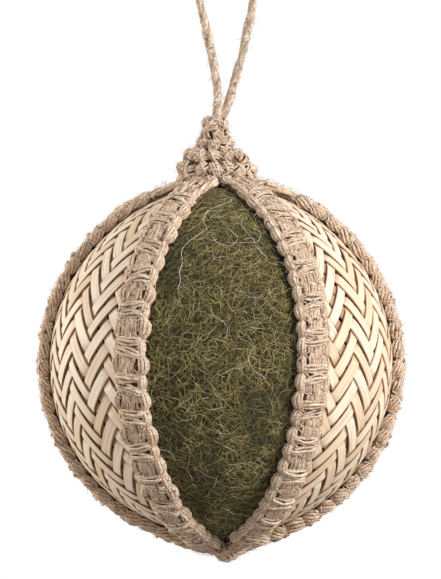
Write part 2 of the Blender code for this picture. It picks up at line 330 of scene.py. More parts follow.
class NodeMaker:
    """Adds nodes to a tree and wires them in the same step."""

    def __init__(self, tree: Tree) -> None:
        """Start on a tree."""
        self.tree = tree

    def add(self, kind: str, wires: dict | None = None, **settings: object) -> bpy.types.Node:
        """Add a node.

        Args:
            kind: Blender's name of the node's type.
            wires: What each input takes, by name or number: another node's socket or a value.
            settings: The node's own settings.

        Returns:
            The node.
        """
        node = self.tree.nodes.new(kind)
        for label, value in settings.items():
            setattr(node, label, value)
        for key, value in (wires or {}).items():
            if isinstance(value, Socket):
                self.tree.links.new(value, node.inputs[key])
            else:
                node.inputs[key].default_value = value
        return node

    def maths(self, operation: str, *values: object, clamp: bool = False) -> Socket:
        """The result of a Math node."""
        wires = dict(enumerate(values))
        return self.add("ShaderNodeMath", wires, operation=operation, use_clamp=clamp).outputs[0]

    def plus(self, first: object, second: object) -> Socket:
        """The sum of two numbers."""
        return self.maths("ADD", first, second)

    def minus(self, first: object, second: object) -> Socket:
        """The difference of two numbers."""
        return self.maths("SUBTRACT", first, second)

    def times(self, *values: object) -> Socket:
        """The product of numbers."""
        return reduce(partial(self.maths, "MULTIPLY"), values)

    def vectors(self, operation: str, first: object, second: object) -> Socket:
        """The result of a Vector Math node.

        Args:
            operation: Its operation.
            first: Its first vector.
            second: Its second vector, or the number that it scales by.

        Returns:
            A vector, or a number for a dot product.
        """
        wires = {0: first, "Scale" if operation == "SCALE" else 1: second}
        node = self.add("ShaderNodeVectorMath", wires, operation=operation)
        return node.outputs["Value" if operation == "DOT_PRODUCT" else "Vector"]

    def spread(
        self, value: object, low: object, high: object, first: float = 0.0, last: float = 1.0
    ) -> Socket:
        """A value taken from one range to another and kept inside it."""
        wires = {0: value, 1: low, 2: high, 3: first, 4: last}
        return self.add("ShaderNodeMapRange", wires, clamp=True).outputs[0]

    def blend(self, share: object, first: object, second: object) -> Socket:
        """A mix of two colours."""
        wires = {0: share, 6: first, 7: second}
        return self.add("ShaderNodeMix", wires, data_type="RGBA", clamp_factor=True).outputs[2]

    def join(self, across: object, up: object = 0.0, deep: object = 0.0) -> Socket:
        """A vector of three numbers."""
        return self.add("ShaderNodeCombineXYZ", {0: across, 1: up, 2: deep}).outputs[0]

    def parts(self, vector: object) -> Sequence[Socket]:
        """The three numbers of a vector."""
        return self.add("ShaderNodeSeparateXYZ", {0: vector}).outputs

    def cloud(
        self, where: Socket, scale: object, detail: float, output: str = "Fac", **more: float
    ) -> Socket:
        """Soft noise, as a number or as a colour."""
        wires = {"Vector": where, "Scale": scale, "Detail": detail, **more}
        return self.add("ShaderNodeTexNoise", wires).outputs[output]


class GroupMaker(NodeMaker):
    """A node group with named inputs and one output."""

    def __init__(self, name: str, family: str, inputs: dict[str, str], outputs: dict[str, str]) -> None:
        """Start a group.

        Args:
            name: The group's name.
            family: Blender's name of the group's type.
            inputs: The kind of each named input.
            outputs: The kind of the one named output.
        """
        super().__init__(bpy.data.node_groups.new(name, family))
        for way, sockets in (("INPUT", inputs), ("OUTPUT", outputs)):
            for label, kind in sockets.items():
                self.tree.interface.new_socket(label, in_out=way, socket_type=f"NodeSocket{kind}")
        self.given = self.add("NodeGroupInput").outputs

    def close(self, value: Socket) -> Tree:
        """End the group with what it puts out."""
        self.add("NodeGroupOutput", {0: value})
        return self.tree


class TreeMaker(GroupMaker):
    """A tree that shapes a piece, from its routes or its ground to faces with a finish."""

    def __init__(self, name: str, counts: Sequence[str], sizes: Sequence[str]) -> None:
        """Start a tree that has counts and sizes as named inputs."""
        kinds = {"Geometry": "Geometry", "Material": "Material"}
        kinds |= dict.fromkeys(counts, "Int") | dict.fromkeys(sizes, "Float")
        super().__init__(name, "GeometryNodeTree", kinds, {"Geometry": "Geometry"})

    def named(self, label: str, kind: str = "FLOAT") -> Socket:
        """What is stored under a name on the points."""
        return self.add("GeometryNodeInputNamedAttribute", {"Name": label}, data_type=kind).outputs[0]

    def stored(self, geometry: Socket, label: str, value: Socket, kind: str = "FLOAT") -> Socket:
        """The geometry with a value stored under a name."""
        wires = {"Geometry": geometry, "Name": label, "Value": value}
        return self.add("GeometryNodeStoreNamedAttribute", wires, data_type=kind, domain="POINT").outputs[0]

    def caught(self, geometry: Socket, kind: str, value: Socket) -> tuple[Socket, Socket]:
        """The geometry and a value kept as it is here for later nodes.

        Args:
            geometry: The geometry.
            kind: FLOAT or VECTOR.
            value: The value.

        Returns:
            The geometry and the kept value.
        """
        node = self.add("GeometryNodeCaptureAttribute", {"Geometry": geometry}, domain="POINT")
        node.capture_items.new(kind, "kept")
        self.tree.links.new(value, node.inputs[1])
        return node.outputs[0], node.outputs[1]

    def drawn(self, step: int, low: object, high: object) -> Socket:
        """A random number or vector for each point.

        Args:
            step: What is added to the tree's seed.
            low: The lowest value, a number or a tuple.
            high: The highest value.

        Returns:
            The value.
        """
        vector = isinstance(low, tuple)
        first = 0 if vector else 2
        wires = {first: low, first + 1: high, "Seed": self.plus(self.given["Seed"], float(step))}
        kind = "FLOAT_VECTOR" if vector else "FLOAT"
        return self.add("FunctionNodeRandomValue", wires, data_type=kind).outputs[0 if vector else 1]

    def spline(self, output: str) -> Socket:
        """The distance along a curve, as a Length or as a Factor."""
        return self.add("GeometryNodeSplineParameter").outputs[output]

    def point(self) -> Socket:
        """Where each point is."""
        return self.add("GeometryNodeInputPosition").outputs[0]

    def ring(self, sides: object, radius: float = 1.0) -> Socket:
        """A ring for the section of a strand."""
        wires = {"Resolution": sides, "Radius": radius}
        return self.add("GeometryNodeCurvePrimitiveCircle", wires).outputs[0]

    def moved(self, geometry: Socket, **wires: Socket) -> Socket:
        """The geometry with its points at a Position or moved by an Offset."""
        return self.add("GeometryNodeSetPosition", {"Geometry": geometry, **wires}).outputs[0]

    def curves(self) -> tuple[Socket, Socket]:
        """The routes as curves, and the distance along each."""
        curve = self.add("GeometryNodeMeshToCurve", {"Mesh": self.given["Geometry"]}).outputs[0]
        return self.caught(curve, "FLOAT", self.spline("Length"))

    def swept(self, curve: Socket, ring: Socket, size: Socket) -> Socket:
        """A closed skin along curves, from a ring and its size."""
        wires = {"Curve": curve, "Profile Curve": ring, "Scale": size, "Fill Caps": True}
        return self.add("GeometryNodeCurveToMesh", wires).outputs[0]

    def finish(self, geometry: Socket) -> Tree:
        """End the tree: real faces, smooth, with the finish.

        Args:
            geometry: What the tree has made.

        Returns:
            The tree.
        """
        smooth = self.add("GeometryNodeSetShadeSmooth", {0: geometry, 2: True}).outputs[0]
        real = self.add("GeometryNodeRealizeInstances", {0: smooth}).outputs[0]
        dressed = self.add("GeometryNodeSetMaterial", {"Geometry": real, "Material": self.given["Material"]})
        return self.close(dressed.outputs[0])


def twine_tree() -> Tree:
    """Tree that turns routes into twisted twine.

    The place along and around each strand is stored for its finish.

    Returns:
        The tree.
    """
    maker = TreeMaker("twisted_twine", ("Sides", "Plies"), ("Groove", "Turns Per Metre", "Ragged"))
    given, tone, place = maker.given, maker.named("tone"), maker.point()
    curve, far = maker.curves()
    turns = maker.plus(maker.times(far, given["Turns Per Metre"]), maker.times(tone, 7.0))
    wires = {"Curve": curve, "Tilt": maker.times(turns, math.tau)}
    curve = maker.add("GeometryNodeSetCurveTilt", wires).outputs[0]
    ring, around = maker.caught(maker.ring(given["Sides"]), "VECTOR", place)
    angle = maker.times(maker.spline("Factor"), given["Plies"], math.tau)
    swell = maker.maths("MULTIPLY_ADD", maker.maths("COSINE", angle), 0.5, 0.5)
    ring, crest = maker.caught(ring, "FLOAT", swell)
    hollow = maker.times(maker.minus(1.0, crest), given["Groove"])
    ring = maker.moved(ring, Position=maker.vectors("SCALE", place, maker.minus(1.0, hollow)))
    mesh = maker.swept(curve, ring, maker.named("thick"))
    parts = maker.parts(around)
    fibre = maker.join(far, parts[0], parts[1])
    mesh = maker.stored(mesh, "fibre", fibre, "FLOAT_VECTOR")
    shift = maker.vectors("SCALE", (61.0, 37.0, 17.0), tone)
    where = maker.vectors("ADD", maker.vectors("MULTIPLY", fibre, (800.0, 1.1, 1.1)), shift)
    swell = maker.times(maker.minus(maker.cloud(where, 1.0, 1.0), 0.5), given["Ragged"])
    normal = maker.add("GeometryNodeInputNormal").outputs[0]
    mesh = maker.moved(mesh, Offset=maker.vectors("SCALE", normal, swell))
    # How near each point lies to a ply's crest, which the finish uses for painted shade in the grooves
    return maker.finish(maker.stored(mesh, "crest", maker.minus(1.0, maker.times(hollow, 6.0))))


def strip_tree() -> Tree:
    """Tree that turns routes into flat strips with soft edges, facing the way stored with each point.

    Returns:
        The tree.
    """
    maker = TreeMaker("split_strips", ("Sides",), ("Width", "Thickness"))
    given = maker.given
    curve, far = maker.curves()
    wires = {"Curve": curve, "Normal": maker.named("lay", "FLOAT_VECTOR")}
    curve = maker.add("GeometryNodeSetCurveNormal", wires, mode="FREE").outputs[0]
    square = []
    for part, power in zip(maker.parts(maker.point()), (0.1, 0.45)):
        size = maker.maths("POWER", maker.maths("ABSOLUTE", part), power)
        square.append(maker.times(maker.maths("SIGN", part), size))
    ring, side = maker.caught(maker.ring(given["Sides"]), "FLOAT", square[1])
    thick, wide = (maker.times(given[label], 0.5) for label in ("Thickness", "Width"))
    section = maker.join(maker.times(square[0], thick), maker.times(square[1], wide))
    ring = maker.moved(ring, Position=section)
    mesh = maker.swept(curve, ring, maker.named("thick"))
    angle = maker.add("GeometryNodeInputMeshEdgeAngle").outputs[0]
    crisp = maker.add("FunctionNodeCompare", {0: angle, 1: 0.6}, operation="GREATER_THAN").outputs[0]
    mesh = maker.add("GeometryNodeSetShadeSmooth", {0: mesh, 1: crisp, 2: False}, domain="EDGE").outputs[0]
    return maker.finish(maker.stored(mesh, "fibre", maker.join(far, side), "FLOAT_VECTOR"))


def fibre_tree() -> Tree:
    """Tree that scatters thin curly fibres over a ground, lying flat or standing off it.

    Returns:
        The tree.
    """
    sizes = ("Density", "Length", "Thickness", "Curl", "Crinkle", "Tilt", "Lift", "Rooted")
    maker = TreeMaker("loose_fibres", ("Seed", "Points"), sizes)
    given = maker.given
    wires = {"Mesh": given["Geometry"], "Density": given["Density"], "Seed": given["Seed"]}
    sown = maker.add("GeometryNodeDistributePointsOnFaces", wires).outputs
    points = maker.stored(sown["Points"], "tone", maker.drawn(1, 0.0, 1.0))
    points = maker.stored(points, "stem", sown["Normal"], "FLOAT_VECTOR")
    points = maker.stored(points, "wander", maker.drawn(2, (-90.0,) * 3, (90.0,) * 3), "FLOAT_VECTOR")
    turn = sown["Rotation"]
    tilt = maker.times(maker.drawn(4, 0.1, 1.0), maker.times(given["Tilt"], -1.0))
    for axis, angle in (((0, 0, 1), maker.drawn(3, 0.0, math.tau)), ((0, 1, 0), tilt)):
        extra = maker.add("FunctionNodeAxisAngleToRotation", {"Axis": axis, "Angle": angle}).outputs[0]
        turn = maker.add("FunctionNodeRotateRotation", {0: turn, 1: extra}, rotation_space="LOCAL").outputs[0]
    back = maker.maths("MULTIPLY_ADD", given["Rooted"], 0.5, -0.5)
    ends = {"Start": maker.join(back), "End": maker.join(maker.plus(back, 1.0))}
    line = maker.add("GeometryNodeCurvePrimitiveLine", ends).outputs[0]
    line = maker.add("GeometryNodeResampleCurve", {"Curve": line, "Count": given["Points"]}).outputs[0]
    size = maker.times(maker.drawn(5, 0.45, 1.45), given["Length"])
    wires = {"Points": points, "Instance": line, "Rotation": turn, "Scale": size}
    fibres = maker.add("GeometryNodeInstanceOnPoints", wires).outputs[0]
    fibres = maker.add("GeometryNodeRealizeInstances", {0: fibres}).outputs[0]
    where = maker.vectors("SCALE", maker.point(), given["Crinkle"])
    where = maker.vectors("ADD", where, maker.named("wander", "FLOAT_VECTOR"))
    factor = maker.spline("Factor")
    free = maker.plus(maker.minus(1.0, given["Rooted"]), maker.times(factor, given["Rooted"]))
    bend = maker.vectors("SUBTRACT", maker.cloud(where, 1.0, 1.0, "Color"), (0.5, 0.5, 0.5))
    push = maker.vectors("SCALE", bend, maker.times(given["Curl"], free))
    stem = maker.named("stem", "FLOAT_VECTOR")
    upward = maker.times(maker.vectors("DOT_PRODUCT", push, stem), 0.8)
    push = maker.vectors("SUBTRACT", push, maker.vectors("SCALE", stem, upward))
    height = maker.times(given["Lift"], maker.maths("MULTIPLY_ADD", maker.named("tone"), 1.4, 0.3))
    fibres = maker.moved(fibres, Offset=maker.vectors("ADD", push, maker.vectors("SCALE", stem, height)))
    slim = maker.minus(1.0, maker.times(maker.maths("POWER", factor, 2.0), 0.55))
    return maker.finish(maker.swept(fibres, maker.ring(3, 0.5), maker.times(slim, given["Thickness"])))


@dataclass(frozen=True)
class TwineSizes:
    """Inputs of the tree for twine. The values are those of a plain strand."""

    sides: int = 5
    plies: int = 1
    groove: float = 0.0
    turns_per_metre: float = 60.0
    ragged: float = 0.24 * MM


@dataclass(frozen=True)
class StripSizes:
    """Inputs of the tree for flat strips."""

    sides: int = 8
    width: float = 3.3 * MM
    thickness: float = 0.55 * MM


@dataclass(frozen=True)
class FibreSizes:
    """Inputs of the tree for loose fibres, which has density by the square metre."""

    seed: int
    points: int
    density: float
    length: float
    thickness: float
    curl: float
    crinkle: float
    tilt: float
    lift: float = 0.0
    rooted: float = 0.0


def grow(source: Object, tree: Tree, name: str, finish: Material, sizes: object) -> Object:
    """Run a tree on an object and keep the result as a plain mesh.

    Args:
        source: The routes or the ground that the tree starts from. It is removed.
        tree: The tree.
        name: Name of the piece.
        finish: The piece's material.
        sizes: The tree's named inputs.

    Returns:
        The piece.
    """
    given = {label.replace("_", " ").title(): value for label, value in vars(sizes).items()}
    given["Material"] = finish
    modifier = source.modifiers.new(tree.name, "NODES")
    modifier.node_group = tree
    for item in tree.interface.items_tree:
        if item.in_out == "INPUT" and item.name in given:
            modifier[item.identifier] = given[item.name]
    mesh = bpy.data.meshes.new_from_object(source.evaluated_get(bpy.context.evaluated_depsgraph_get()))
    mesh.name = name
    bpy.data.objects.remove(source, do_unlink=True)
    return link(name, mesh)


# Finishes


def mask_group(name: str, output: str, *inputs: str) -> GroupMaker:
    """A shader effect that turns coordinates and numbers into a mask."""
    kinds = {"Coordinates": "Vector"} | dict.fromkeys(inputs, "Float")
    return GroupMaker(name, "ShaderNodeTree", kinds, {output: "Float"})


def grain_group() -> Tree:
    """Lengthwise streaks on a strand or strip, different on each one.

    Returns:
        The group.
    """
    maker = mask_group("lengthwise_grain", "Streaks", "Tone", "Along", "Around", "Contrast")
    given = maker.given
    stretch = maker.join(given["Along"], given["Around"], given["Around"])
    scaled = maker.vectors("MULTIPLY", given["Coordinates"], stretch)
    shift = maker.join(maker.times(given["Tone"], 61.0), maker.times(given["Tone"], 37.0))
    cloud = maker.cloud(maker.vectors("ADD", scaled, shift), 1.0, 3.0, Roughness=0.6)
    sharp = maker.times(maker.minus(cloud, 0.5), given["Contrast"])
    return maker.close(maker.maths("ADD", sharp, 0.5, clamp=True))


def curl_group() -> Tree:
    """Thin curly lines, as matted wool has.

    Returns:
        The group.
    """
    maker = mask_group("curly_lines", "Lines", "Scale", "Width")
    given = maker.given
    cloud = maker.cloud(given["Coordinates"], given["Scale"], 1.5, Roughness=0.55, Distortion=1.6)
    off = maker.maths("ABSOLUTE", maker.minus(cloud, 0.5))
    return maker.close(maker.spread(off, 0.0, given["Width"], 1.0, 0.0))


def line_group() -> Tree:
    """Short wavy lines side by side, as matted fibres have.

    Returns:
        The group.
    """
    maker = mask_group("wavy_lines", "Lines", "Along", "Across", "Low")
    given = maker.given
    bend = maker.vectors("SUBTRACT", maker.cloud(given["Coordinates"], 320.0, 0.0, "Color"), (0.5, 0.5, 0.5))
    where = maker.vectors("ADD", given["Coordinates"], maker.vectors("SCALE", bend, 0.0035))
    where = maker.vectors("MULTIPLY", where, maker.join(given["Along"], given["Across"], given["Across"]))
    high = maker.plus(given["Low"], 0.07)
    return maker.close(maker.spread(maker.cloud(where, 1.0, 1.0), given["Low"], high))


@dataclass(frozen=True)
class Groups:
    """The shared shader effects."""

    grain: Tree
    curls: Tree
    lines: Tree


class FinishMaker(NodeMaker):
    """A material being put together round one Principled shader."""

    def __init__(self, name: str, groups: Groups) -> None:
        """Start a material.

        Args:
            name: Its name.
            groups: The shared shader effects.
        """
        self.material = bpy.data.materials.new(name)
        self.material.use_nodes = True
        super().__init__(self.material.node_tree)
        self.groups = groups

    @cached_property
    def where(self) -> Socket:
        """The place in the part's own frame."""
        return self.add("ShaderNodeTexCoord").outputs["Object"]

    @cached_property
    def tone(self) -> Socket:
        """How pale the strand or fibre is, from 0 to 1."""
        return self.read("tone", "Fac")

    def read(self, label: str, output: str) -> Socket:
        """What is stored under a name on the piece."""
        return self.add("ShaderNodeAttribute", attribute_name=label).outputs[output]

    def effect(self, group: Tree, where: Socket, **values: object) -> Socket:
        """The mask of a shared effect, with its own values."""
        wires = {"Coordinates": where} | {label.title(): value for label, value in values.items()}
        return self.add("ShaderNodeGroup", wires, node_tree=group).outputs[0]

    def grain(self, along: float, around: float, contrast: float) -> Socket:
        """Lengthwise streaks from the place along and around the strand."""
        values = {"tone": self.tone, "along": along, "around": around, "contrast": contrast}
        return self.effect(self.groups.grain, self.read("fibre", "Vector"), **values)

    def curls(self, scale: float, share: float) -> Socket:
        """Curly lines of one scale, partly see-through."""
        return self.times(self.effect(self.groups.curls, self.where, scale=scale, width=0.055), share)

    def layers(self, colour: Socket, *layers: tuple[Socket, Colour]) -> Socket:
        """Colours laid over one another.

        Args:
            colour: The lowest colour.
            layers: The mask and the colour of each layer over it.

        Returns:
            The colour that shows.
        """
        for mask, shade in layers:
            colour = self.blend(mask, colour, shade)
        return colour

    def wire(
        self, colour: Socket, roughness: float, bump: tuple[Socket, float] | None, **constants: float
    ) -> None:
        """Wire the shader.

        Args:
            colour: The base colour.
            roughness: The roughness.
            bump: What the bump follows and its depth in metres, where there is one.
            constants: Other inputs of the shader, with _ for a space.
        """
        inputs = self.tree.nodes["Principled BSDF"].inputs
        self.tree.links.new(colour, inputs["Base Color"])
        inputs["Roughness"].default_value = roughness
        for label, value in constants.items():
            inputs[label.replace("_", " ")].default_value = value
        if bump:
            height, depth = bump
            made = self.add("ShaderNodeBump", {"Strength": 1.0, "Distance": depth, "Height": height})
            self.tree.links.new(made.outputs["Normal"], inputs["Normal"])


@dataclass(frozen=True)
class Finish:
    """A finish that a material is built from."""

    name: str

    def paint(self, maker: FinishMaker) -> None:
        """Add the finish's own nodes to a material."""
        raise NotImplementedError

    def build(self, groups: Groups) -> Material:
        """Build the material.

        Args:
            groups: The shared shader effects.

        Returns:
            The material.
        """
        maker = FinishMaker(self.name, groups)
        self.paint(maker)
        return maker.material


@dataclass(frozen=True)
class JuteFinish(Finish):
    """Dry jute: pale fibres over tan and brown ones that run along the strand, under curly loose ones."""

    dark: Colour = linear(112, 68, 40)
    middle: Colour = linear(238, 195, 159)
    pale: Colour = linear(252, 235, 212)
    fine: float = 1.0
    girth: float = 0.8
    fleck_low: float = 0.05
    fleck_high: float = 0.5
    # Painted shade: the dark brown of shadowed holes, laid in patches and on hidden filler strands
    hole: Colour = linear(84, 52, 33)

    def paint(self, maker: FinishMaker) -> None:
        """Lay threads, curls, painted shade in patches, between the plies and on hidden fillers over the
        streaks.

        Args:
            maker: The material's maker.
        """
        streaks = maker.grain(130.0 * self.fine, 2.2 * self.girth, 3.0)
        threads = maker.grain(300.0 * self.fine, 3.4 * self.girth, 3.6)
        lift = maker.maths("MULTIPLY_ADD", maker.tone, 0.4, maker.minus(threads, 0.45))
        colour = maker.layers(
            maker.blend(maker.spread(streaks, self.fleck_low, self.fleck_high), self.dark, self.middle),
            (maker.spread(lift, 0.03, 0.47, 0.0, 0.95), self.pale),
            (maker.curls(1050.0, 0.85), self.dark),
            (maker.curls(850.0, 0.9), self.pale),
            # Painted shade: noise patches of dark brown standing in for shadowed holes between fibres
            (maker.spread(maker.cloud(maker.where, 620.0, 2.0), 0.63, 0.71, 0.0, 0.85), self.hole),
            # Painted shade in the grooves between the plies
            (maker.spread(maker.read("crest", "Fac"), 0.0, 0.6, 0.72, 0.0), self.dark),
            # Painted shade on hidden filler strands, which have tone 0, so the gaps between strands read dark
            (maker.spread(maker.tone, 0.0, 0.03, 0.9, 0.0), self.hole),
        )
        maker.wire(colour, 0.92, (threads, 0.1 * MM), Sheen_Weight=0.05, Specular_IOR_Level=0.15)


@dataclass(frozen=True)
class RattanFinish(Finish):
    """Peeled rattan: cream with fine lengthwise grain, tan on some strips, brown along the edges."""

    cream: Colour = linear(236, 221, 200)
    tan: Colour = linear(219, 192, 157)
    brown: Colour = linear(150, 100, 56)
    # Painted shade, laid on strips where they run under others
    shade: Colour = linear(150, 104, 64)

    def paint(self, maker: FinishMaker) -> None:
        """Lay grain, edges and painted shade under other strips over cream and tan.

        Args:
            maker: The material's maker.
        """
        fine, broad = maker.grain(55.0, 5.0, 2.6), maker.grain(35.0, 1.6, 2.2)
        tanned = maker.spread(maker.tone, 0.4, 1.0, 0.0, 0.8)
        tanned = maker.plus(tanned, maker.spread(broad, 0.5, 1.0, 0.0, 0.45))
        side = maker.maths("ABSOLUTE", maker.parts(maker.read("fibre", "Vector"))[1])
        colour = maker.layers(
            maker.blend(tanned, self.cream, self.tan),
            (maker.spread(fine, 0.5, 0.85, 0.0, 0.75), self.tan),
            (maker.spread(fine, 0.7, 0.78, 0.0, 0.4), self.brown),
            (maker.spread(side, 0.82, 0.96, 0.0, 0.95), self.brown),
            # Painted shade where the strip dips under others
            (maker.spread(maker.read("dip", "Fac"), 0.2, 1.0, 0.0, 0.75), self.shade),
        )
        maker.wire(colour, 0.55, (fine, 0.06 * MM), Specular_IOR_Level=0.35)


@dataclass(frozen=True)
class FeltFinish(Finish):
    """Matted moss-green wool: layers of wavy fibres of several olive shades over a dark ground."""

    deep: Colour = linear(20, 19, 10)
    middle: Colour = linear(56, 52, 28)
    # Colour, threshold and turn of each layer of fibres, from the lowest to the topmost
    LAYERS = (
        ((74, 66, 34), 0.50, (0.3, 0.9, 0.2)), ((28, 28, 16), 0.55, (1.9, 0.4, 2.6)),
        ((98, 86, 46), 0.56, (0.8, 1.7, 1.1)), ((34, 36, 24), 0.57, (0.1, 1.2, 0.7)),
        ((76, 82, 60), 0.61, (2.4, 0.2, 1.6)), ((116, 102, 56), 0.60, (1.2, 2.2, 0.1)),
        ((134, 120, 74), 0.63, (0.5, 0.6, 2.1)),
    )

    def paint(self, maker: FinishMaker) -> None:
        """Lay wavy fibres over a clouded ground.

        Args:
            maker: The material's maker.
        """
        height = maker.cloud(maker.where, 160.0, 4.0, Roughness=0.65)
        colour = maker.blend(maker.spread(height, 0.36, 0.64), self.deep, self.middle)
        for shade, low, turn in self.LAYERS:
            turned = maker.add("ShaderNodeMapping", {"Vector": maker.where, "Rotation": turn}).outputs[0]
            lines = maker.effect(maker.groups.lines, turned, along=260.0, across=1900.0, low=low)
            colour = maker.blend(maker.times(lines, 0.85), colour, linear(*shade))
            height = maker.maths("MAXIMUM", height, lines)
        maker.wire(colour, 0.98, (height, 0.2 * MM), Sheen_Weight=0.1, Specular_IOR_Level=0.1)


@dataclass(frozen=True)
class HairFinish(Finish):
    """Loose fibres whose colour runs from one to another, with a few of a third."""

    dark: Colour
    light: Colour
    rare: Colour
    rare_from: float
    tint: Colour = linear(150, 122, 66)
    tinted: float = 0.0
    bias: float = 2.8
    cloud: Colour = linear(46, 52, 42)
    clouded: float = 0.0

    def paint(self, maker: FinishMaker) -> None:
        """Lay tints, the rare colour and soft clouds over the run from dark to light.

        Args:
            maker: The material's maker.
        """
        share = maker.maths("POWER", maker.spread(maker.tone, 0.0, self.rare_from), self.bias)
        colour = maker.layers(
            maker.blend(share, self.dark, self.light),
            (maker.times(maker.maths("FRACT", maker.times(maker.tone, 37.0)), self.tinted), self.tint),
            (maker.spread(maker.tone, self.rare_from, self.rare_from + 0.01), self.rare),
            (maker.spread(maker.cloud(maker.where, 100.0, 3.0), 0.48, 0.62, 0.0, self.clouded), self.cloud),
        )
        maker.wire(colour, 0.85, None, Sheen_Weight=0.1, Specular_IOR_Level=0.25)


@dataclass(frozen=True)
class Finishes:
    """The built materials."""

    felt: Material
    wool: Material
    rattan: Material
    jute: Material
    cord: Material
    fuzz: Material


def build_finishes() -> Finishes:
    """Build every material.

    Returns:
        The materials.
    """
    wool = HairFinish("moss_wool", linear(8, 10, 7), linear(219, 204, 131), linear(222, 212, 172), 0.95,
                      tinted=0.4, clouded=0.5)
    cord = JuteFinish("jute_cord", linear(84, 50, 28), linear(202, 164, 133), linear(255, 238, 214),
                      fine=3.2, girth=1.35, fleck_low=0.2, fleck_high=0.6)
    fuzz = HairFinish("jute_fuzz", linear(134, 88, 54), linear(246, 214, 180), linear(255, 240, 218), 0.8,
                      bias=1.0)
    groups = Groups(grain_group(), curl_group(), line_group())
    return Finishes(
        felt=FeltFinish("moss_felt").build(groups),
        wool=wool.build(groups),
        rattan=RattanFinish("peeled_rattan").build(groups),
        jute=JuteFinish("jute_twine").build(groups),
        cord=cord.build(groups),
        fuzz=fuzz.build(groups),
    )


# Pieces


@dataclass(frozen=True)
class Trees:
    """The trees that shape the pieces."""

    twine: Tree
    strips: Tree
    fibres: Tree


@dataclass
class Workshop:
    """What every sub-assembly is made with."""

    ball: BallForm
    trees: Trees
    finishes: Finishes

    def settle(self, piece: Object, slot: str, *nodes: str) -> Object:
        """Fix a piece to the body, hide the solids that it stands for, and report it.

        Args:
            piece: The finished piece.
            slot: Not used.
            nodes: The solids that it replaces.

        Returns:
            The piece.
        """
        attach(piece, "root")
        if nodes:
            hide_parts(*nodes)
        log.info("%s: %d faces", piece.name, len(piece.data.polygons))
        return piece

    def twine(
        self, name: str, routes: Sequence[Route], finish: Material, sizes: TwineSizes = TwineSizes()
    ) -> Object:
        """Twist routes into twine."""
        return grow(route_object(name, routes), self.trees.twine, name, finish, sizes)

    def fuzz(self, name: str, twine: Object, density: float, length: float, seed: int) -> Object:
        """Loose jute fibres that stand off a piece of twine.

        Args:
            name: Name of the piece.
            twine: The twine, which is kept.
            density: Fibres to a square metre.
            length: Mean length of a fibre.
            seed: Seed of the scatter.

        Returns:
            The piece.
        """
        sizes = FibreSizes(seed, 3, density, length, thickness=0.085 * MM, curl=1.3 * length, crinkle=600.0,
                           tilt=math.radians(19), rooted=1.0)
        copy = link(name + "_ground", twine.data.copy())
        return grow(copy, self.trees.fibres, name, self.finishes.fuzz, sizes)

    def settle_pair(self, twine: Object, fuzz: Object, node: str) -> None:
        """Settle a piece of twine, which stands for a solid, and its loose fibres."""
        self.settle(twine, "jute", node)
        self.settle(fuzz, "jute")


@dataclass
class Assembly:
    """A part of the ornament that the workshop makes."""

    shop: Workshop

    @property
    def ball(self) -> BallForm:
        """The ball that it lies on."""
        return self.shop.ball


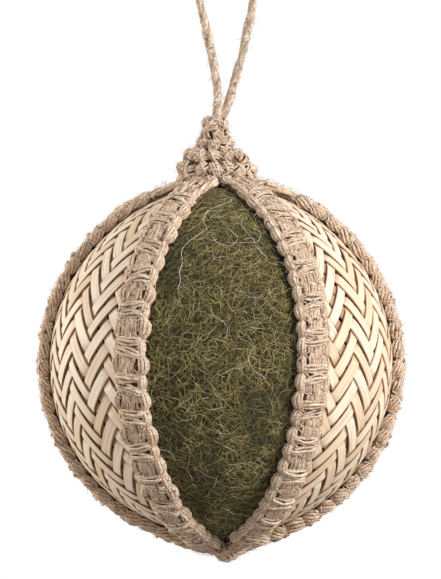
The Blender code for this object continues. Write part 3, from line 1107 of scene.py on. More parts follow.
@dataclass
class FeltBall(Assembly):
    """The wool-felt ball, with its mat of fibres in the three gores where it shows."""

    columns: int = 144
    rows: int = 72
    lump: float = 0.22 * MM
    edge_low: float = 0.6 * MM
    edge_high: float = 2.4 * MM
    fibre_rim: float = 3.9 * MM
    gores: tuple[int, ...] = (0, 2, 4)
    # Fibres to a square metre and their thickness, in the front gore and in the other two
    front_fibres: tuple[float, float] = (2.7e6, 0.115 * MM)
    other_fibres: tuple[float, float] = (1.6e6, 0.15 * MM)
    # The sheet that they are sown on, which starts below the crown and spans most of the way down, in degrees
    ground_columns: int = 24
    ground_rows: int = 60
    ground_start: int = 11
    ground_span: int = 159
    hairs_per_gore: int = 20

    # Where the longest hair shows, to the right of the ball's centre and above it, in millimetres
    LONG_HAIR = (
        (0.9, 45.2), (2.6, 44.6), (2.5, 43.5), (0.3, 42.8), (-3.4, 41.1), (-4.7, 38.4), (-3.9, 36.2),
        (-6.8, 34.0), (-9.2, 32.1), (-10.4, 30.0), (-10.1, 27.4), (-10.9, 24.6), (-10.6, 22.4), (-11.4, 20.2),
    )

    def radius_at(self, azimuth: float, polar: float) -> float:
        """Radius of the felt: full in its own gores, pressed in under the bands and the panels.

        Args:
            azimuth: Direction of the place.
            polar: Its polar angle.

        Returns:
            The radius.
        """
        ball = self.ball
        turn = azimuth / (2 * ball.half_gore)
        if round(turn) % 6 not in self.gores:
            return ball.bed_radius
        off = abs(turn - round(turn)) * 2 * ball.half_gore
        edge = ball.felt_radius * math.sin(polar) * math.sin(max(ball.half_gore - off, 0.0))
        return ball.bed_radius + ball.bed_depth * smooth_step(self.edge_low, self.edge_high, edge)

    def point(self, azimuth: float, polar: float) -> Vector:
        """A point of the felt's lumpy surface.

        Args:
            azimuth: Its direction.
            polar: Its polar angle.

        Returns:
            The point.
        """
        place = self.ball.place(azimuth, polar, self.radius_at(azimuth, polar))
        lumps = noise.noise(place * 110) + 0.5 * noise.noise(place * 330)
        return place + self.lump * lumps * self.ball.outward(place)

    def ball_mesh(self) -> bpy.types.Mesh:
        """The whole ball, closed at both poles.

        Returns:
            The mesh.
        """
        points = [self.point(0.0, 0.0)]
        for row in range(1, self.rows):
            polar = math.pi * row / self.rows
            points += [self.point(math.tau * column / self.columns, polar) for column in range(self.columns)]
        points.append(self.point(0.0, math.pi))
        faces = []
        last = len(points) - 1
        for column in range(self.columns):
            after = (column + 1) % self.columns
            faces.append((0, 1 + column, 1 + after))
            for row in range(self.rows - 2):
                upper, lower = 1 + row * self.columns, 1 + (row + 1) * self.columns
                faces.append((upper + after, upper + column, lower + column, lower + after))
            faces.append((last, last - self.columns + after, last - self.columns + column))
        mesh = bpy.data.meshes.new("felt_ball_wool")
        mesh.from_pydata(points, [], faces)
        mesh.shade_smooth()
        return mesh

    def gore_ground(self, gore: int) -> Object:
        """The part of the felt in one gore, which its fibres are sown on.

        Args:
            gore: The gore's number, from 0 at the front.

        Returns:
            The sheet.
        """
        columns, rows = self.ground_columns, self.ground_rows
        points = []
        for row in range(rows + 1):
            polar = math.radians(self.ground_start + self.ground_span * row / rows)
            rim = self.fibre_rim / (self.ball.felt_radius * math.sin(polar))
            half = max(self.ball.half_gore - math.asin(min(rim, 0.499)), 0.0)
            for column in range(columns + 1):
                turn = 2 * self.ball.half_gore * gore + half * (2 * column / columns - 1)
                points.append(self.point(turn, polar))
        return ground("felt_ground", points, columns + 1, downward=True)

    def wandering_hair(self, gore: int, draw: random.Random) -> Route:
        """A long pale hair that curls over the felt.

        Args:
            gore: The gore that it lies in.
            draw: Source of its course.

        Returns:
            The route.
        """
        polar = math.radians(draw.uniform(30, 155))
        turn = 2 * self.ball.half_gore * gore + draw.uniform(-0.32, 0.32)
        heading = draw.uniform(0, math.tau)
        bend = draw.uniform(-0.16, 0.16)
        stride = 0.019
        points = []
        for _ in range(draw.randint(8, 20)):
            points.append(self.ball.place(turn, polar, self.ball.felt_radius + draw.uniform(0.55, 1.05) * MM))
            heading += bend + draw.uniform(-0.45, 0.45)
            polar += stride * math.cos(heading)
            turn += stride * math.sin(heading) / max(math.sin(polar), 0.2)
        return strand(points, 0.045 * MM, 0.9 * MM, draw.uniform(0.4, 1.0))

    def long_hairs(self) -> list[Route]:
        """Long pale hairs over all three gores, the longest at the upper left of the front.

        Returns:
            Their routes.
        """
        draw = random.Random(7)
        hairs = [self.wandering_hair(gore, draw) for gore in self.gores for _ in range(self.hairs_per_gore)]
        radius = self.ball.felt_radius + 2.0 * MM
        points = [self.ball.seen_at(*mm(across, up), radius) for across, up in self.LONG_HAIR]
        return hairs + [strand(points, 0.052 * MM, 0.9 * MM, 0.9)]

    def build(self) -> None:
        """Build the ball, its fibres and its long hairs."""
        shop = self.shop
        mesh = self.ball_mesh()
        mesh.materials.append(shop.finishes.felt)
        wool = shop.settle(link("felt_ball_wool", mesh), "felt", "felt_ball")
        for order, gore in enumerate(self.gores):
            density, thickness = self.other_fibres if order else self.front_fibres
            sizes = FibreSizes(11 + order, 4, density, length=3.8 * MM, thickness=thickness, curl=4.8 * MM,
                               crinkle=600.0, tilt=math.radians(12), lift=0.28 * MM)
            name = f"felt_fibres_{order + 1}"
            fibres = grow(self.gore_ground(gore), shop.trees.fibres, name, shop.finishes.wool, sizes)
            shop.settle(fibres, "felt")
        smooth = TwineSizes(sides=3, ragged=0.0)
        hairs = shop.twine("felt_long_hairs", self.long_hairs(), shop.finishes.fuzz, smooth)
        shop.settle(hairs, "felt")


class Chevron(Enum):
    """Which way the herringbone points in the middle of a panel."""

    UP = "up"
    DOWN = "down"


@dataclass
class RattanPanel(Assembly):
    """One gore of herringbone, woven of flat strips that pass over three and under three."""

    number: int
    azimuth: float
    middle: Chevron
    row_pitch: float = 6.5 * MM
    column_width: float = 7.7 * MM
    crossings: int = 3
    taper: float = 0.33
    sizes: StripSizes = StripSizes()
    dip_depth: float = 0.62 * MM
    arch: float = 0.16 * MM
    cover: float = 3.3 * MM
    latitude_end: float = math.radians(80)
    steps_per_cell: int = 4
    cells_aside: int = 14

    def turn_and_latitude(self, across: float, along: float) -> tuple[float, float]:
        """Angle from the gore's middle and latitude of a place in the weave.

        Args:
            across: The place to the right, counted in half steps.
            along: The place upwards, counted in half steps.

        Returns:
            The angle and the latitude.
        """
        radius = self.ball.felt_radius
        latitude = along * self.row_pitch / 2 / radius
        step = self.column_width / self.crossings / radius
        return (across + 0.5) * step / max(math.cos(latitude), 0.05) ** self.taper, latitude

    def overness(self, across: float, lean: int) -> tuple[float, float]:
        """How far a strip lies over the others at a place across the weave.

        Args:
            across: Place across the weave, counted in half steps.
            lean: 1 for a strip that climbs to the right, -1 for one that falls.

        Returns:
            A share, 1 on top and 0 below, and how far along its float the place is, from 0 to 1.
        """
        column, share = divmod((across + 0.5) / self.crossings, 1.0)
        climbing_on_top = (int(column) % 2 == 1) == (self.middle is Chevron.UP)
        on_top = climbing_on_top == (lean == 1)
        edge = min(share, 1 - share) * self.crossings
        soft = 0.5 + 0.5 * smooth_step(0.0, 0.3, edge)
        return (soft if on_top else 1 - soft), (share if on_top else 0.0)

    def strip(self, lean: int, offset: float, draw: random.Random) -> Route | None:
        """One whole strip, from band to band.

        Args:
            lean: 1 for a strip that climbs to the right, -1 for one that falls.
            offset: Where it crosses the gore's middle, in half steps.
            draw: Source of small differences.

        Returns:
            The route, or None where it would be too short.
        """
        ball = self.ball
        wide = draw.uniform(0.86, 1.12)
        drift, wave = draw.uniform(-0.07, 0.07), draw.uniform(0, math.tau)
        route = Route([], [], draw.random())
        reach = self.cells_aside * self.steps_per_cell
        for step in range(-reach, reach + 1):
            across = step / self.steps_per_cell
            along = offset + lean * across + drift + 0.05 * math.sin(across * 0.9 + wave)
            turn, latitude = self.turn_and_latitude(across, along)
            if abs(latitude) > self.latitude_end or abs(turn) > ball.half_gore:
                continue
            edge = ball.felt_radius * math.cos(latitude) * math.sin(ball.half_gore - abs(turn))
            if edge < self.cover:
                continue
            over, share = self.overness(across, lean)
            level = ball.felt_radius + ball.panel_proud - self.sizes.thickness / 2
            level -= self.dip_depth * (1 - over)
            level += self.arch * math.sin(math.pi * share) * over
            point = ball.place(self.azimuth + turn, math.pi / 2 - latitude, level)
            route.points.append(point)
            route.thick.append(wide * math.cos(latitude) ** 0.3)
            route.lay.append(ball.outward(point))
            route.dip.append(1 - over)
        return route if len(route.points) > self.steps_per_cell else None

    def build(self) -> None:
        """Build the panel's strips."""
        draw = random.Random(100 + self.number)
        rows = int(2 * self.latitude_end * self.ball.felt_radius / self.row_pitch) + self.cells_aside
        places = range(-rows // 2, rows // 2 + 1)
        found = [self.strip(lean, 2 * row, draw) for lean in (1, -1) for row in places]
        name = f"rattan_strips_{self.number}"
        source = route_object(name, [route for route in found if route is not None])
        piece = grow(source, self.shop.trees.strips, name, self.shop.finishes.rattan, self.sizes)
        self.shop.settle(piece, "rattan", f"rattan_panel_{self.number}")


@dataclass
class JuteBand(Assembly):
    """One meridian of square knots: lengthwise strands, pairs of wrapped bundles and puffed side loops."""

    number: int
    azimuth: float
    first_wrap: float = 11.0 * MM
    pitch: float = 9.4 * MM
    loop_turn: float = 0.0
    shift_low: float = 0.0
    shift_high: float = 0.0
    beaded: float = 1.0
    roped: float = 0.5
    half_width: float = 4.6 * MM
    top: float = 3.75 * MM
    lanes: int = 9
    lane_width: float = 0.6 * MM
    block_radius: float = 0.44 * MM
    bundle_offset: float = 1.1 * MM
    wrap_half: float = 2.05 * MM
    bottom_reach: float = 4.2 * MM
    loose_length: float = 10.0 * MM
    step: float = 1.0 * MM

    # Across the band and above the felt, in millimetres: a wrap's route from edge to edge
    WRAP = (
        (-3.9, 0.7), (-3.6, 2.1), (-2.7, 3.0), (-1.3, 3.35), (0.0, 3.45),
        (1.3, 3.35), (2.7, 3.0), (3.6, 2.1), (3.9, 0.7),
    )
    # The rounded outline that the band's curly loose fibres are sown on
    COVER = (
        (-4.7, 1.5), (-4.1, 2.7), (-2.9, 3.4), (-1.4, 3.75), (0.0, 3.85),
        (1.4, 3.75), (2.9, 3.4), (4.1, 2.7), (4.7, 1.5),
    )
    # A thin tie from the top of a block down beside a side loop, and how far along it leans
    TIE = ((2.1, 3.4, 1.0), (2.9, 3.25, 0.4), (3.6, 2.4, -0.4), (3.8, 0.9, -1.0))
    # Where the strands of a side loop lie round its middle, in degrees from straight outwards to straight up
    LOOP_STRANDS = (-70, -25, 20, 65, 115)
    # Middle and width of the band's two sideways bends, as shares of its length
    LOW_BEND = (0.28, 0.17)
    HIGH_BEND = (0.74, 0.17)
    # Standing fibres and curls to a square metre, on a beaded band and on a plain one
    BEADED_FUZZ = (0.55e5, 1.8e5)
    PLAIN_FUZZ = (1.0e5, 3.5e5)

    def __post_init__(self) -> None:
        """Find where the band starts and ends and where its wraps are."""
        ball = self.ball
        self.low = ball.polar_at(self.bottom_reach, ball.felt_radius, at_top=False)
        crown_edge = ball.crown_reach(self.azimuth) + 2 * ball.gap
        self.high = ball.polar_at(crown_edge, ball.felt_radius, at_top=True)
        self.length = ball.felt_radius * (self.low - self.high)
        self.sideways = Vector((math.cos(self.azimuth), math.sin(self.azimuth), 0))
        self.felt_side = -1 if self.number % 2 else 1
        self.draw = random.Random(200 + self.number)
        count = int((self.length - self.loose_length - self.first_wrap) / self.pitch) + 1
        self.wrap_places = [self.first_wrap + self.pitch * index + self.jitter(0.3) for index in range(count)]

    def jitter(self, size: float) -> float:
        """A small random length, given in millimetres."""
        return self.draw.uniform(-size, size) * MM

    def place(self, along: float, across: float, height: float) -> Vector:
        """A point of the band.

        Args:
            along: Its distance along the band, from below.
            across: Its distance to the right.
            height: Its height above the felt's radius.

        Returns:
            The point.
        """
        ball = self.ball
        share = along / self.length
        point = ball.place(self.azimuth, self.low + (self.high - self.low) * share, ball.felt_radius + height)
        room = math.hypot(point.x, point.y) * math.tan(ball.half_gore) - ball.gap
        across *= min(1.0, max(room, 2.7 * MM) / self.half_width)
        across += self.shift_low * bell(share, *self.LOW_BEND)
        across += self.shift_high * bell(share, *self.HIGH_BEND)
        return point + self.sideways * across

    def blocks(self) -> list[Route]:
        """The lengthwise strands that show between the wraps, over three thick ones that fill the band.

        Returns:
            Their routes.
        """
        routes = []
        ends = [-2 * MM] + self.wrap_places
        for start, end in zip(ends, ends[1:]):
            first, last = start + 0.45 * self.wrap_half, end - 0.45 * self.wrap_half
            bow = self.jitter(0.3)
            for lane in range(self.lanes):
                off = lane - (self.lanes - 1) / 2
                radius = self.block_radius * self.draw.uniform(0.8, 1.12)
                sway, sink = self.jitter(0.3), self.draw.uniform(0.0, 0.2) * MM
                begin = self.draw.uniform(0.35, 0.6) if 2 * off * self.felt_side == self.lanes - 1 else 0.0
                points = []
                for step in range(7):
                    share = begin + (1 - begin) * step / 6
                    dip = abs(2 * share - 1) ** 4
                    across = off * self.lane_width * (1 - 0.1 * dip)
                    across += sway * math.sin(math.tau * share) + bow * math.sin(math.pi * share)
                    sag = (0.035 * off * off + 0.6 * dip) * MM
                    height = self.top - radius - sink - sag
                    points.append(self.place(first + (last - first) * share, across, height))
                routes.append(even(points, radius, self.draw.uniform(0.05, 0.75)))
        fill_height, fill_radius = mm(1.4, 1.45)
        for lane in (-1, 0, 1):
            across = (lane * 2.0 - 0.4 * self.felt_side) * MM
            filling = [self.place(self.length * step / 60, across, fill_height) for step in range(61)]
            routes.append(even(filling, fill_radius, 0.0))
        return routes

    def wraps(self) -> list[Route]:
        """Two bundles at each wrap that cross the band, curl down at both edges and part at the felt.

        Returns:
            Their routes.
        """
        routes = []
        for middle in self.wrap_places:
            lean, gape = self.draw.uniform(-0.2, 0.2), self.draw.uniform(0.2, 0.65)
            lean *= 1 + 2.2 * (2 * middle / self.length - 1) ** 2
            for bundle in (-1, 1):
                count = self.draw.choice((3, 3, 4))
                width = (0.7 if count == 3 else 0.54) * self.draw.uniform(0.95, 1.08)
                bow = self.jitter(0.3)
                for row in range(count):
                    level = row - (count - 1) / 2
                    offset = level * width * 1.12 * MM
                    bulge = 0.58 - 0.9 * (level * width) ** 2 + self.draw.uniform(-0.08, 0.08)
                    wave, start = self.draw.uniform(0.05, 0.22), self.draw.uniform(0, math.tau)
                    points = []
                    for across, height in self.WRAP:
                        share = 1 - (across / self.WRAP[-1][0]) ** 2
                        along = middle + bundle * self.bundle_offset + offset * (0.5 + 0.5 * share)
                        along += bow * share + lean * across * MM
                        along += bundle * gape * smooth_step(0.2, 3.4, across * self.felt_side) * MM
                        along += wave * math.sin(start + 0.9 * across) * MM
                        up = (height + bulge) * MM + self.jitter(0.08)
                        points.append(self.place(along, across * MM, up))
                    radius = 0.62 * width * self.draw.uniform(0.88, 1.12) * MM
                    routes.append(strand(points, radius, self.step, self.draw.uniform(0.3, 0.95)))
        return routes

    def side_loop(self, middle: float, side: int, size: float) -> list[Route]:
        """A bundle of strands that puffs out at one edge.

        Args:
            middle: Where it sits along the band.
            side: 1 for the right edge, -1 for the left.
            size: 0 for a small one, as beside a wrap, to 1 for a large one, as beside a block.

        Returns:
            The strands' routes.
        """
        size += self.draw.uniform(-0.4, 0.4)
        beaded, roped = self.beaded, self.roped * self.beaded
        tucked = 0.0 if beaded or side == self.felt_side else 1.0
        root, strand_radius = mm(2.75, 0.48)
        half = (2.15 + 0.3 * size + 0.3 * beaded + 0.3 * roped) * MM
        reach = (3.6 + 0.5 * size - 0.3 * tucked - 0.1 * beaded - 0.5 * roped) * MM
        girth = (0.82 + 0.2 * size + 0.25 * beaded - 0.25 * roped) * MM
        turn = self.draw.uniform(-0.7, 0.7) * (1 + 0.6 * beaded) + 2.3 * beaded
        routes = []
        for angle in (None, *self.LOOP_STRANDS):
            points, thick = [], []
            for step in range(7):
                share = step / 6
                swell = math.sin(math.pi * (0.06 + 0.88 * share)) ** (0.6 + 0.1 * beaded - 0.3 * roped)
                across, height = root + (reach - root) * swell, (1.8 + 0.4 * roped) * MM
                spread = girth * (0.25 + 0.75 * swell)
                if angle is not None:
                    way = math.radians(angle) + turn * (share - 0.5)
                    across += spread * math.cos(way)
                    height += 1.25 * spread * math.sin(way)
                points.append(self.place(middle + half * (2 * share - 1), side * across, height))
                thick.append(spread if angle is None else strand_radius * (0.65 + 0.35 * swell))
            tone = 0.0 if angle is None else self.draw.uniform(0.1 - 0.083 * beaded, 1.0 - 0.75 * beaded)
            routes.append(Route(points, thick, tone))
        return routes

    def ties(self, joint: float, side: int) -> list[Route]:
        """Two thin pale strands that cross where two side loops meet.

        Args:
            joint: Where they cross, along the band.
            side: 1 for the right edge, -1 for the left.

        Returns:
            Their routes, or none where a beaded band has no tie.
        """
        if self.beaded and self.draw.random() < 0.6:
            return []
        wide = (1 + 0.25 * self.beaded) * MM
        routes = []
        for way in (-1, 1):
            lean = way * self.draw.uniform(0.5, 1.0)
            points = [self.place(joint + lean * share * MM, side * across * wide, height * MM)
                      for across, height, share in self.TIE]
            routes.append(strand(points, 0.2 * MM, 0.9 * MM, self.draw.uniform(0.9, 1.0)))
        return routes

    def edges(self) -> list[Route]:
        """The side loops along both edges and the ties between them.

        Returns:
            Their routes.
        """
        routes = []
        for side in (-1, 1):
            for index in range(-1, 2 * len(self.wrap_places)):
                middle = self.first_wrap + self.pitch * (index / 2 + self.loop_turn)
                middle += self.jitter(0.35 + 0.15 * self.beaded)
                if 0 < middle < self.length - 0.7 * self.loose_length:
                    size = 0.5 if self.loop_turn or self.beaded else index % 2
                    routes += self.side_loop(middle, side, size) + self.ties(middle + self.pitch / 4, side)
        return routes

    def loose_cords(self) -> list[Route]:
        """The twisted cords that fan out to the crown above the last wrap.

        Returns:
            Their routes.
        """
        routes = []
        first, last = self.wrap_places[-1] + 0.5 * MM, self.length + 2.5 * MM
        bed_height, bed_radius, twist, ply_radius = mm(0.7, 1.1, 0.55, 0.62)
        for lane in (-1.5, -0.5, 0.5, 1.5):
            spread = lane * self.draw.uniform(1.9, 2.3) * MM
            height, start = (2.1 + self.draw.uniform(-0.2, 0.3)) * MM, self.draw.uniform(0, math.tau)
            bed = [self.place(first + (last - first) * step / 9, spread, bed_height) for step in range(10)]
            routes.append(even(bed, bed_radius, 0.0))
            for ply in range(3):
                points = []
                for share in (step / 18 for step in range(19)):
                    turn = start + math.tau * (ply / 3 + 0.8 * share)
                    across = spread * (0.95 + 0.2 * share) + twist * math.cos(turn)
                    up = height + twist * math.sin(turn)
                    points.append(self.place(first + (last - first) * share, across, up))
                routes.append(even(points, ply_radius, self.draw.uniform(0.1, 1.0)))
        return routes

    def cover_ground(self) -> Object:
        """The outside of the band as one smooth sheet.

        Returns:
            The sheet.
        """
        rows = 60
        spots = [(row / rows, *mm(*spot)) for row in range(rows + 1) for spot in self.COVER]
        points = [self.place(self.length * share, across, height) for share, across, height in spots]
        return ground("band_ground", points, len(self.COVER), downward=False)

    def build(self) -> None:
        """Build the band and its loose fibres."""
        shop, number = self.shop, self.number
        routes = self.blocks() + self.wraps() + self.edges() + self.loose_cords()
        band = shop.twine(f"jute_knots_{number}", routes, shop.finishes.jute)
        density, curl_density = self.BEADED_FUZZ if self.beaded else self.PLAIN_FUZZ
        fuzz = shop.fuzz(f"jute_knots_fuzz_{number}", band, density, length=1.6 * MM, seed=300 + number)
        shop.settle_pair(band, fuzz, f"jute_band_{number}")
        sizes = FibreSizes(320 + number, 4, curl_density, length=2.4 * MM, thickness=0.13 * MM, curl=3.0 * MM,
                           crinkle=650.0, tilt=math.radians(9), lift=0.12 * MM)
        name = f"jute_knots_curls_{number}"
        shop.settle(grow(self.cover_ground(), shop.trees.fibres, name, shop.finishes.fuzz, sizes), "jute")


def bead_routes(
    middle: Vector, outward: Vector, length: float, width: float, draw: random.Random
) -> list[Route]:
    """A round lump of strands over a core, with one that crosses over them, as a tight hitch has.

    Args:
        middle: The lump's middle.
        outward: Direction that it faces.
        length: Its size along the strands.
        width: Its size across them.
        draw: Source of its turn and its small differences.

    Returns:
        The routes of the core and of the strands.
    """
    first = outward.orthogonal().normalized()
    second = outward.cross(first)
    spin = draw.uniform(0, math.pi)
    core_run = math.cos(spin) * first + math.sin(spin) * second
    shares = (-0.36, -0.18, 0.0, 0.18, 0.36)
    core = [middle + core_run * length * share - 0.1 * width * outward for share in shares]
    routes = [Route(core, [share * width for share in (0.2, 0.34, 0.4, 0.34, 0.2)], 0.0)]
    crossing = draw.uniform(0.9, 2.2)
    strands = [(lane, 0.0, 0.0) for lane in (-2, -1, 0, 1, 2)] + [(draw.uniform(-1.2, 1.2), crossing, 0.09)]
    for lane, extra, lift in strands:
        run = math.cos(spin + extra) * first + math.sin(spin + extra) * second
        side = outward.cross(run)
        off = (lane + draw.uniform(-0.2, 0.2)) * 0.21 * width
        radius = 0.115 * width * draw.uniform(0.85, 1.15)
        bulge = math.sqrt(max(0.27 * width ** 2 - off ** 2, 0.0)) - 0.5 * radius + lift * width
        lean = draw.uniform(-0.14, 0.14) * width
        points = []
        for turn in (math.radians(-115 + 230 * step / 6) for step in range(7)):
            along = 0.5 * length * math.sin(turn) * (0.75 + 0.25 * bulge / (0.5 * width))
            across = off * (0.7 + 0.3 * math.cos(turn)) + lean * math.sin(turn)
            points.append(middle + run * along + outward * bulge * math.cos(turn) + side * across)
        routes.append(even(points, radius, draw.uniform(0.1, 1.0)))
    return routes


@dataclass
class JuteCrown(Assembly):
    """The heap of jute knots on top of the ball."""

    lump: float = 3.8 * MM
    narrowness: float = 0.88

    # Lumps that show in front: millimetres to the right of the ball's axis and above its centre, and size
    SEEN = (
        (-1.1, 66.1, 0.75), (-2.4, 64.7, 0.85), (0.4, 64.3, 0.8), (-4.0, 62.6, 0.85), (-0.9, 62.0, 0.8),
        (-5.2, 59.7, 1.0), (-1.9, 59.2, 0.85), (1.1, 60.0, 1.05),
        (-8.7, 56.6, 0.92), (-5.3, 56.2, 1.05), (-2.1, 56.4, 0.9), (1.2, 56.6, 1.0), (5.6, 55.3, 1.05),
        (-10.6, 53.2, 0.85), (-8.3, 51.6, 0.95), (-4.9, 52.5, 1.0), (-1.6, 52.4, 1.05), (1.6, 53.0, 0.9),
        (4.6, 52.2, 1.05), (8.0, 52.4, 0.95), (-6.2, 49.6, 0.9), (-2.8, 49.4, 0.95), (1.0, 49.8, 0.9),
        (4.4, 49.2, 0.85), (8.6, 49.6, 0.8),
    )
    # Rows of lumps round the back: height above the foot in millimetres, and count
    ROWS = ((1.8, 9), (5.2, 8), (8.6, 7), (11.8, 5), (14.8, 4), (17.4, 3))
    # Shares of the crown's height where its core's girth is set
    CORE = (-0.1, 0.12, 0.25, 0.4, 0.55, 0.7, 0.85, 0.95)

    def seen_place(self, across: float, up: float) -> tuple[Vector, Vector]:
        """Where a lump that shows in front sits.

        Args:
            across: Its distance to the right of the ball's axis.
            up: Its height above the ball's centre.

        Returns:
            Its middle and the direction that it faces.
        """
        girth = self.ball.crown_girth(max(up - self.ball.crown_base, 0.0)) - 0.35 * self.lump
        off = across + self.ball.crown_shift
        depth = math.sqrt(max(girth ** 2 - off ** 2, 0.0))
        outward = Vector((off, -depth - 2 * MM, 1 * MM)).normalized()
        return self.ball.centre + Vector((across, -depth, up)), outward

    def routes(self) -> list[Route]:
        """All lumps and the core that they sit on.

        Returns:
            The routes of their strands.
        """
        draw = random.Random(41)
        ball = self.ball
        routes = []
        for across, up, size in self.SEEN:
            middle, outward = self.seen_place(*mm(across, up))
            width = self.narrowness * size * self.lump
            routes += bead_routes(middle, outward, size * self.lump, width, draw)
        foot = ball.centre + Vector((-ball.crown_shift, 0, ball.crown_base))
        for row, (height, count) in enumerate(self.ROWS):
            girth = ball.crown_girth(height * MM) - 0.35 * self.lump
            for index in range(count):
                turn = math.pi + 1.3 * math.pi * ((index + 0.5) / count - 0.5) + 0.1 * row
                middle = foot + girth * facing(turn) + Vector((0, 0, height * MM))
                size = draw.uniform(0.92, 1.12) * self.lump * (1 - 0.06 * max(row - 2, 0))
                outward = facing(turn, 0.15).normalized()
                routes += bead_routes(middle, outward, size, self.narrowness * size, draw)
        heights = [ball.crown_height * share for share in self.CORE]
        girths = [max(ball.crown_girth(max(height, 0.0)) - 0.45 * self.lump, 1.7 * MM) for height in heights]
        routes.append(Route([foot + Vector((0, 0, height)) for height in heights], girths, 0.0))
        return routes

    def build(self) -> None:
        """Build the crown and its loose fibres."""
        crown = self.shop.twine("jute_crown_knots", self.routes(), self.shop.finishes.jute)
        fuzz = self.shop.fuzz("jute_crown_fuzz", crown, density=1.5e5, length=2.2 * MM, seed=401)
        self.shop.settle_pair(crown, fuzz, "jute_crown")


@dataclass
class BottomKnot(Assembly):
    """The lumps of twine under the ball where the bands start."""

    lump: float = 4.4 * MM
    ring: float = 4.3 * MM
    shift: float = 1.0 * MM

    # Lumps that fill the knot out: millimetres to the right of its middle and below its face
    FILLING = ((-6.0, 0.4), (6.4, 0.2), (0.6, 3.2))

    def routes(self) -> list[Route]:
        """A ring of six lumps, three that fill it out and the core that they sit on.

        Returns:
            The routes of their strands.
        """
        draw = random.Random(43)
        ball = self.ball
        face = ball.centre + Vector((self.shift, 0, -(ball.bed_radius + ball.bottom_rise + ball.gap)))
        routes = []
        for index in range(6):
            turn = math.tau * index / 6
            middle = face + self.ring * facing(turn) - Vector((0, 0, 2.0 * MM))
            routes += bead_routes(middle, facing(turn, -1.0).normalized(), self.lump, 0.9 * self.lump, draw)
        for across, down in self.FILLING:
            middle = face + Vector((across * MM, -1.0 * MM, -down * MM))
            outward = Vector((across * 0.03, -0.3, -1)).normalized()
            routes += bead_routes(middle, outward, 1.5 * self.lump, 1.2 * self.lump, draw)
        core = [face - Vector((0, 0, depth)) for depth in mm(-0.6, 1.2, 2.4, 3.8)]
        routes.append(Route(core, list(mm(5.4, 5.0, 3.8, 1.8)), 0.0))
        return routes

    def build(self) -> None:
        """Build the lumps and their loose fibres."""
        knots = self.shop.twine("jute_bottom_knots", self.routes(), self.shop.finishes.jute)
        fuzz = self.shop.fuzz("jute_bottom_fuzz", knots, density=1.2e5, length=2.2 * MM, seed=402)
        self.shop.settle_pair(knots, fuzz, "bottom_knot")


@dataclass
class HangingLoop(Assembly):
    """The loop of twisted jute twine that the ball hangs by."""

    stations: int = 150
    sizes: TwineSizes = TwineSizes(16, 2, groove=0.12, turns_per_metre=75.0, ragged=0.8 * MM)

    # Across and above the crown and depth, in millimetres, as in the part's source
    ROUTE = (
        (-1.3, 0.0, -1.1), (-1.1, 3.2, -0.9), (-1.0, 7.0, -0.5), (-1.9, 13.2, -0.2), (-3.5, 21.5, 0.0),
        (-5.2, 28.8, 0.0), (-6.7, 35.6, 0.0), (-7.4, 41.3, 0.0), (-6.4, 47.0, 0.0), (-3.6, 51.0, 0.0),
        (0.0, 52.2, 0.0), (3.9, 51.3, 0.0), (7.4, 48.0, 0.0), (9.2, 42.3, 0.0), (9.0, 35.3, 0.0),
        (8.2, 28.8, 0.0), (7.0, 23.3, 0.0), (5.8, 17.4, 0.1), (4.3, 12.2, 0.3), (3.0, 7.7, 0.6),
        (1.6, 3.0, 0.9), (0.3, 0.0, 1.1),
    )

    def route(self) -> list[Vector]:
        """Evenly shared points of the loop's middle line.

        Returns:
            The points, from the front strand to the back one.
        """
        foot = self.ball.centre + Vector((0, 0, self.ball.crown_top + self.ball.gap))
        scale = (self.ball.loop_height - self.ball.gap) / max(up for _, up, _ in self.ROUTE)
        points = [foot + Vector((across * MM, depth * MM, up * scale)) for across, up, depth in self.ROUTE]
        return through(points, self.stations)

    def build(self) -> None:
        """Build the loop and its loose fibres."""
        ball = self.ball
        line = self.route()
        thick = [ball.cord_diameter / 2 * (1.03 + 0.22 * noise.noise(point * 120)) for point in line]
        cord = self.shop.twine("hanging_twine", [Route(line, thick)], self.shop.finishes.cord, self.sizes)
        fuzz = self.shop.fuzz("hanging_twine_fuzz", cord, density=3.0e5, length=2.2 * MM, seed=403)
        self.shop.settle_pair(cord, fuzz, "hanging_loop")


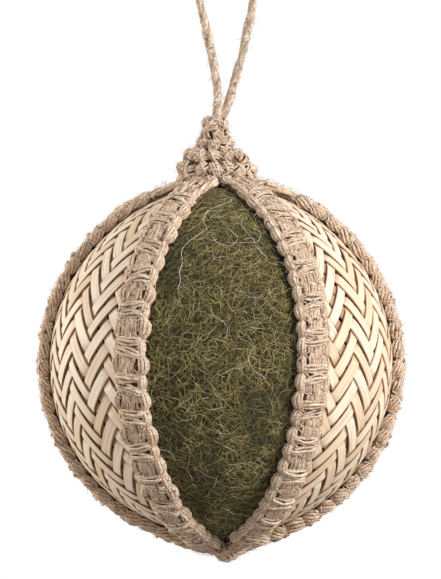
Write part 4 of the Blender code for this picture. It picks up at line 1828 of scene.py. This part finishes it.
@dataclass(frozen=True)
class Studio:
    """Camera, soft lights and white surroundings."""

    ball: BallForm
    pixel: float = 0.2717 * MM
    width: int = 441
    height: int = 579
    centre_across: float = 221.2
    centre_down: float = 363.8
    lens: float = 220.0
    sensor: float = 36.0
    lamp_distance: float = 0.9

    # Azimuth and height in degrees, side in metres, power in watts and warmth of each soft square light
    LAMPS = {"key_light": (54, 19, 0.35, 8.5, 0.0), "side_light": (-105, 8, 0.6, 7.3, 0.07)}

    def camera(self) -> None:
        """A long lens level with the ball, framed as the photograph is."""
        data = bpy.data.cameras.new("camera")
        data.lens = self.lens
        data.sensor_width = self.sensor
        data.clip_end = 20
        made = link("camera", data)
        across = (self.width / 2 - self.centre_across) * self.pixel
        up = (self.centre_down - self.height / 2) * self.pixel
        distance = self.height * self.pixel * self.lens / self.sensor
        made.location = self.ball.centre + Vector((across, -distance, up))
        made.rotation_euler = (math.pi / 2, 0, 0)
        bpy.context.scene.camera = made

    def lamps(self) -> None:
        """Soft square lights that face the ball."""
        for name, (azimuth, height, size, power, warmth) in self.LAMPS.items():
            data = bpy.data.lights.new(name, "AREA")
            data.color = (1.0, 1.0 - 0.4 * warmth, 1.0 - warmth)
            data.energy = power
            data.size = size
            made = link(name, data)
            turn, rise = math.radians(azimuth), math.radians(height)
            way = Vector((math.sin(turn) * math.cos(rise), -math.cos(turn) * math.cos(rise), math.sin(rise)))
            made.location = self.ball.centre + self.lamp_distance * way
            made.rotation_euler = (-way).to_track_quat("-Z", "Y").to_euler()

    def surroundings(self) -> None:
        """White surroundings that light the ball more from above than from below."""
        world = bpy.data.worlds.new("white_surroundings")
        bpy.context.scene.world = world
        world.use_nodes = True
        maker = NodeMaker(world.node_tree)
        up = maker.parts(maker.add("ShaderNodeTexCoord").outputs["Generated"])[2]
        seen = maker.add("ShaderNodeLightPath").outputs["Is Camera Ray"]
        strength = maker.maths("MAXIMUM", maker.spread(up, -0.8, 0.8, 0.37, 0.71), seen)
        low = maker.times(maker.spread(up, -0.7, 0.1, 1.0, 0.0), maker.minus(1.0, seen))
        ground_light = world.node_tree.nodes["Background"].inputs
        colour = maker.blend(low, (1.0, 1.0, 1.0, 1.0), (1.0, 0.93, 0.85, 1.0))
        world.node_tree.links.new(colour, ground_light["Color"])
        world.node_tree.links.new(strength, ground_light["Strength"])

    def build(self) -> None:
        """Set the studio up."""
        bpy.context.scene.view_settings.view_transform = "Standard"
        self.camera()
        self.lamps()
        self.surroundings()


def bands(shop: Workshop) -> list[JuteBand]:
    """The six bands: the two beside the front gore, which are set by the photograph, and four plainer ones.

    Args:
        shop: The workshop.

    Returns:
        The bands by number.
    """
    right = JuteBand(shop, 1, math.radians(30), first_wrap=12.4 * MM, pitch=9.03 * MM, loop_turn=0.25,
                     shift_low=-0.85 * MM, shift_high=1.4 * MM, beaded=0.0)
    left = JuteBand(shop, 6, math.radians(330), first_wrap=10.5 * MM, pitch=9.0 * MM, shift_low=1.2 * MM,
                    beaded=0.0)
    others = [JuteBand(shop, number, math.radians(60 * (number - 0.5)), roped=roped)
              for number, roped in ((2, 0.1), (3, 0.2), (4, 0.2), (5, 0.35))]
    return [right, *others, left]


def main() -> None:
    """Build the ball's looks in order."""
    logging.basicConfig(level=logging.INFO, format="%(name)s: %(message)s")
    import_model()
    shop = Workshop(BallForm(), Trees(twine_tree(), strip_tree(), fibre_tree()), build_finishes())
    Studio(shop.ball).build()
    HangingLoop(shop).build()
    FeltBall(shop).build()
    for number, (turn, middle) in enumerate(((60, Chevron.DOWN), (180, Chevron.UP), (300, Chevron.UP)), 1):
        RattanPanel(shop, number, math.radians(turn), middle).build()
    for band in bands(shop):
        band.build()
    JuteCrown(shop).build()
    BottomKnot(shop).build()


if __name__ == "__main__":
    main()
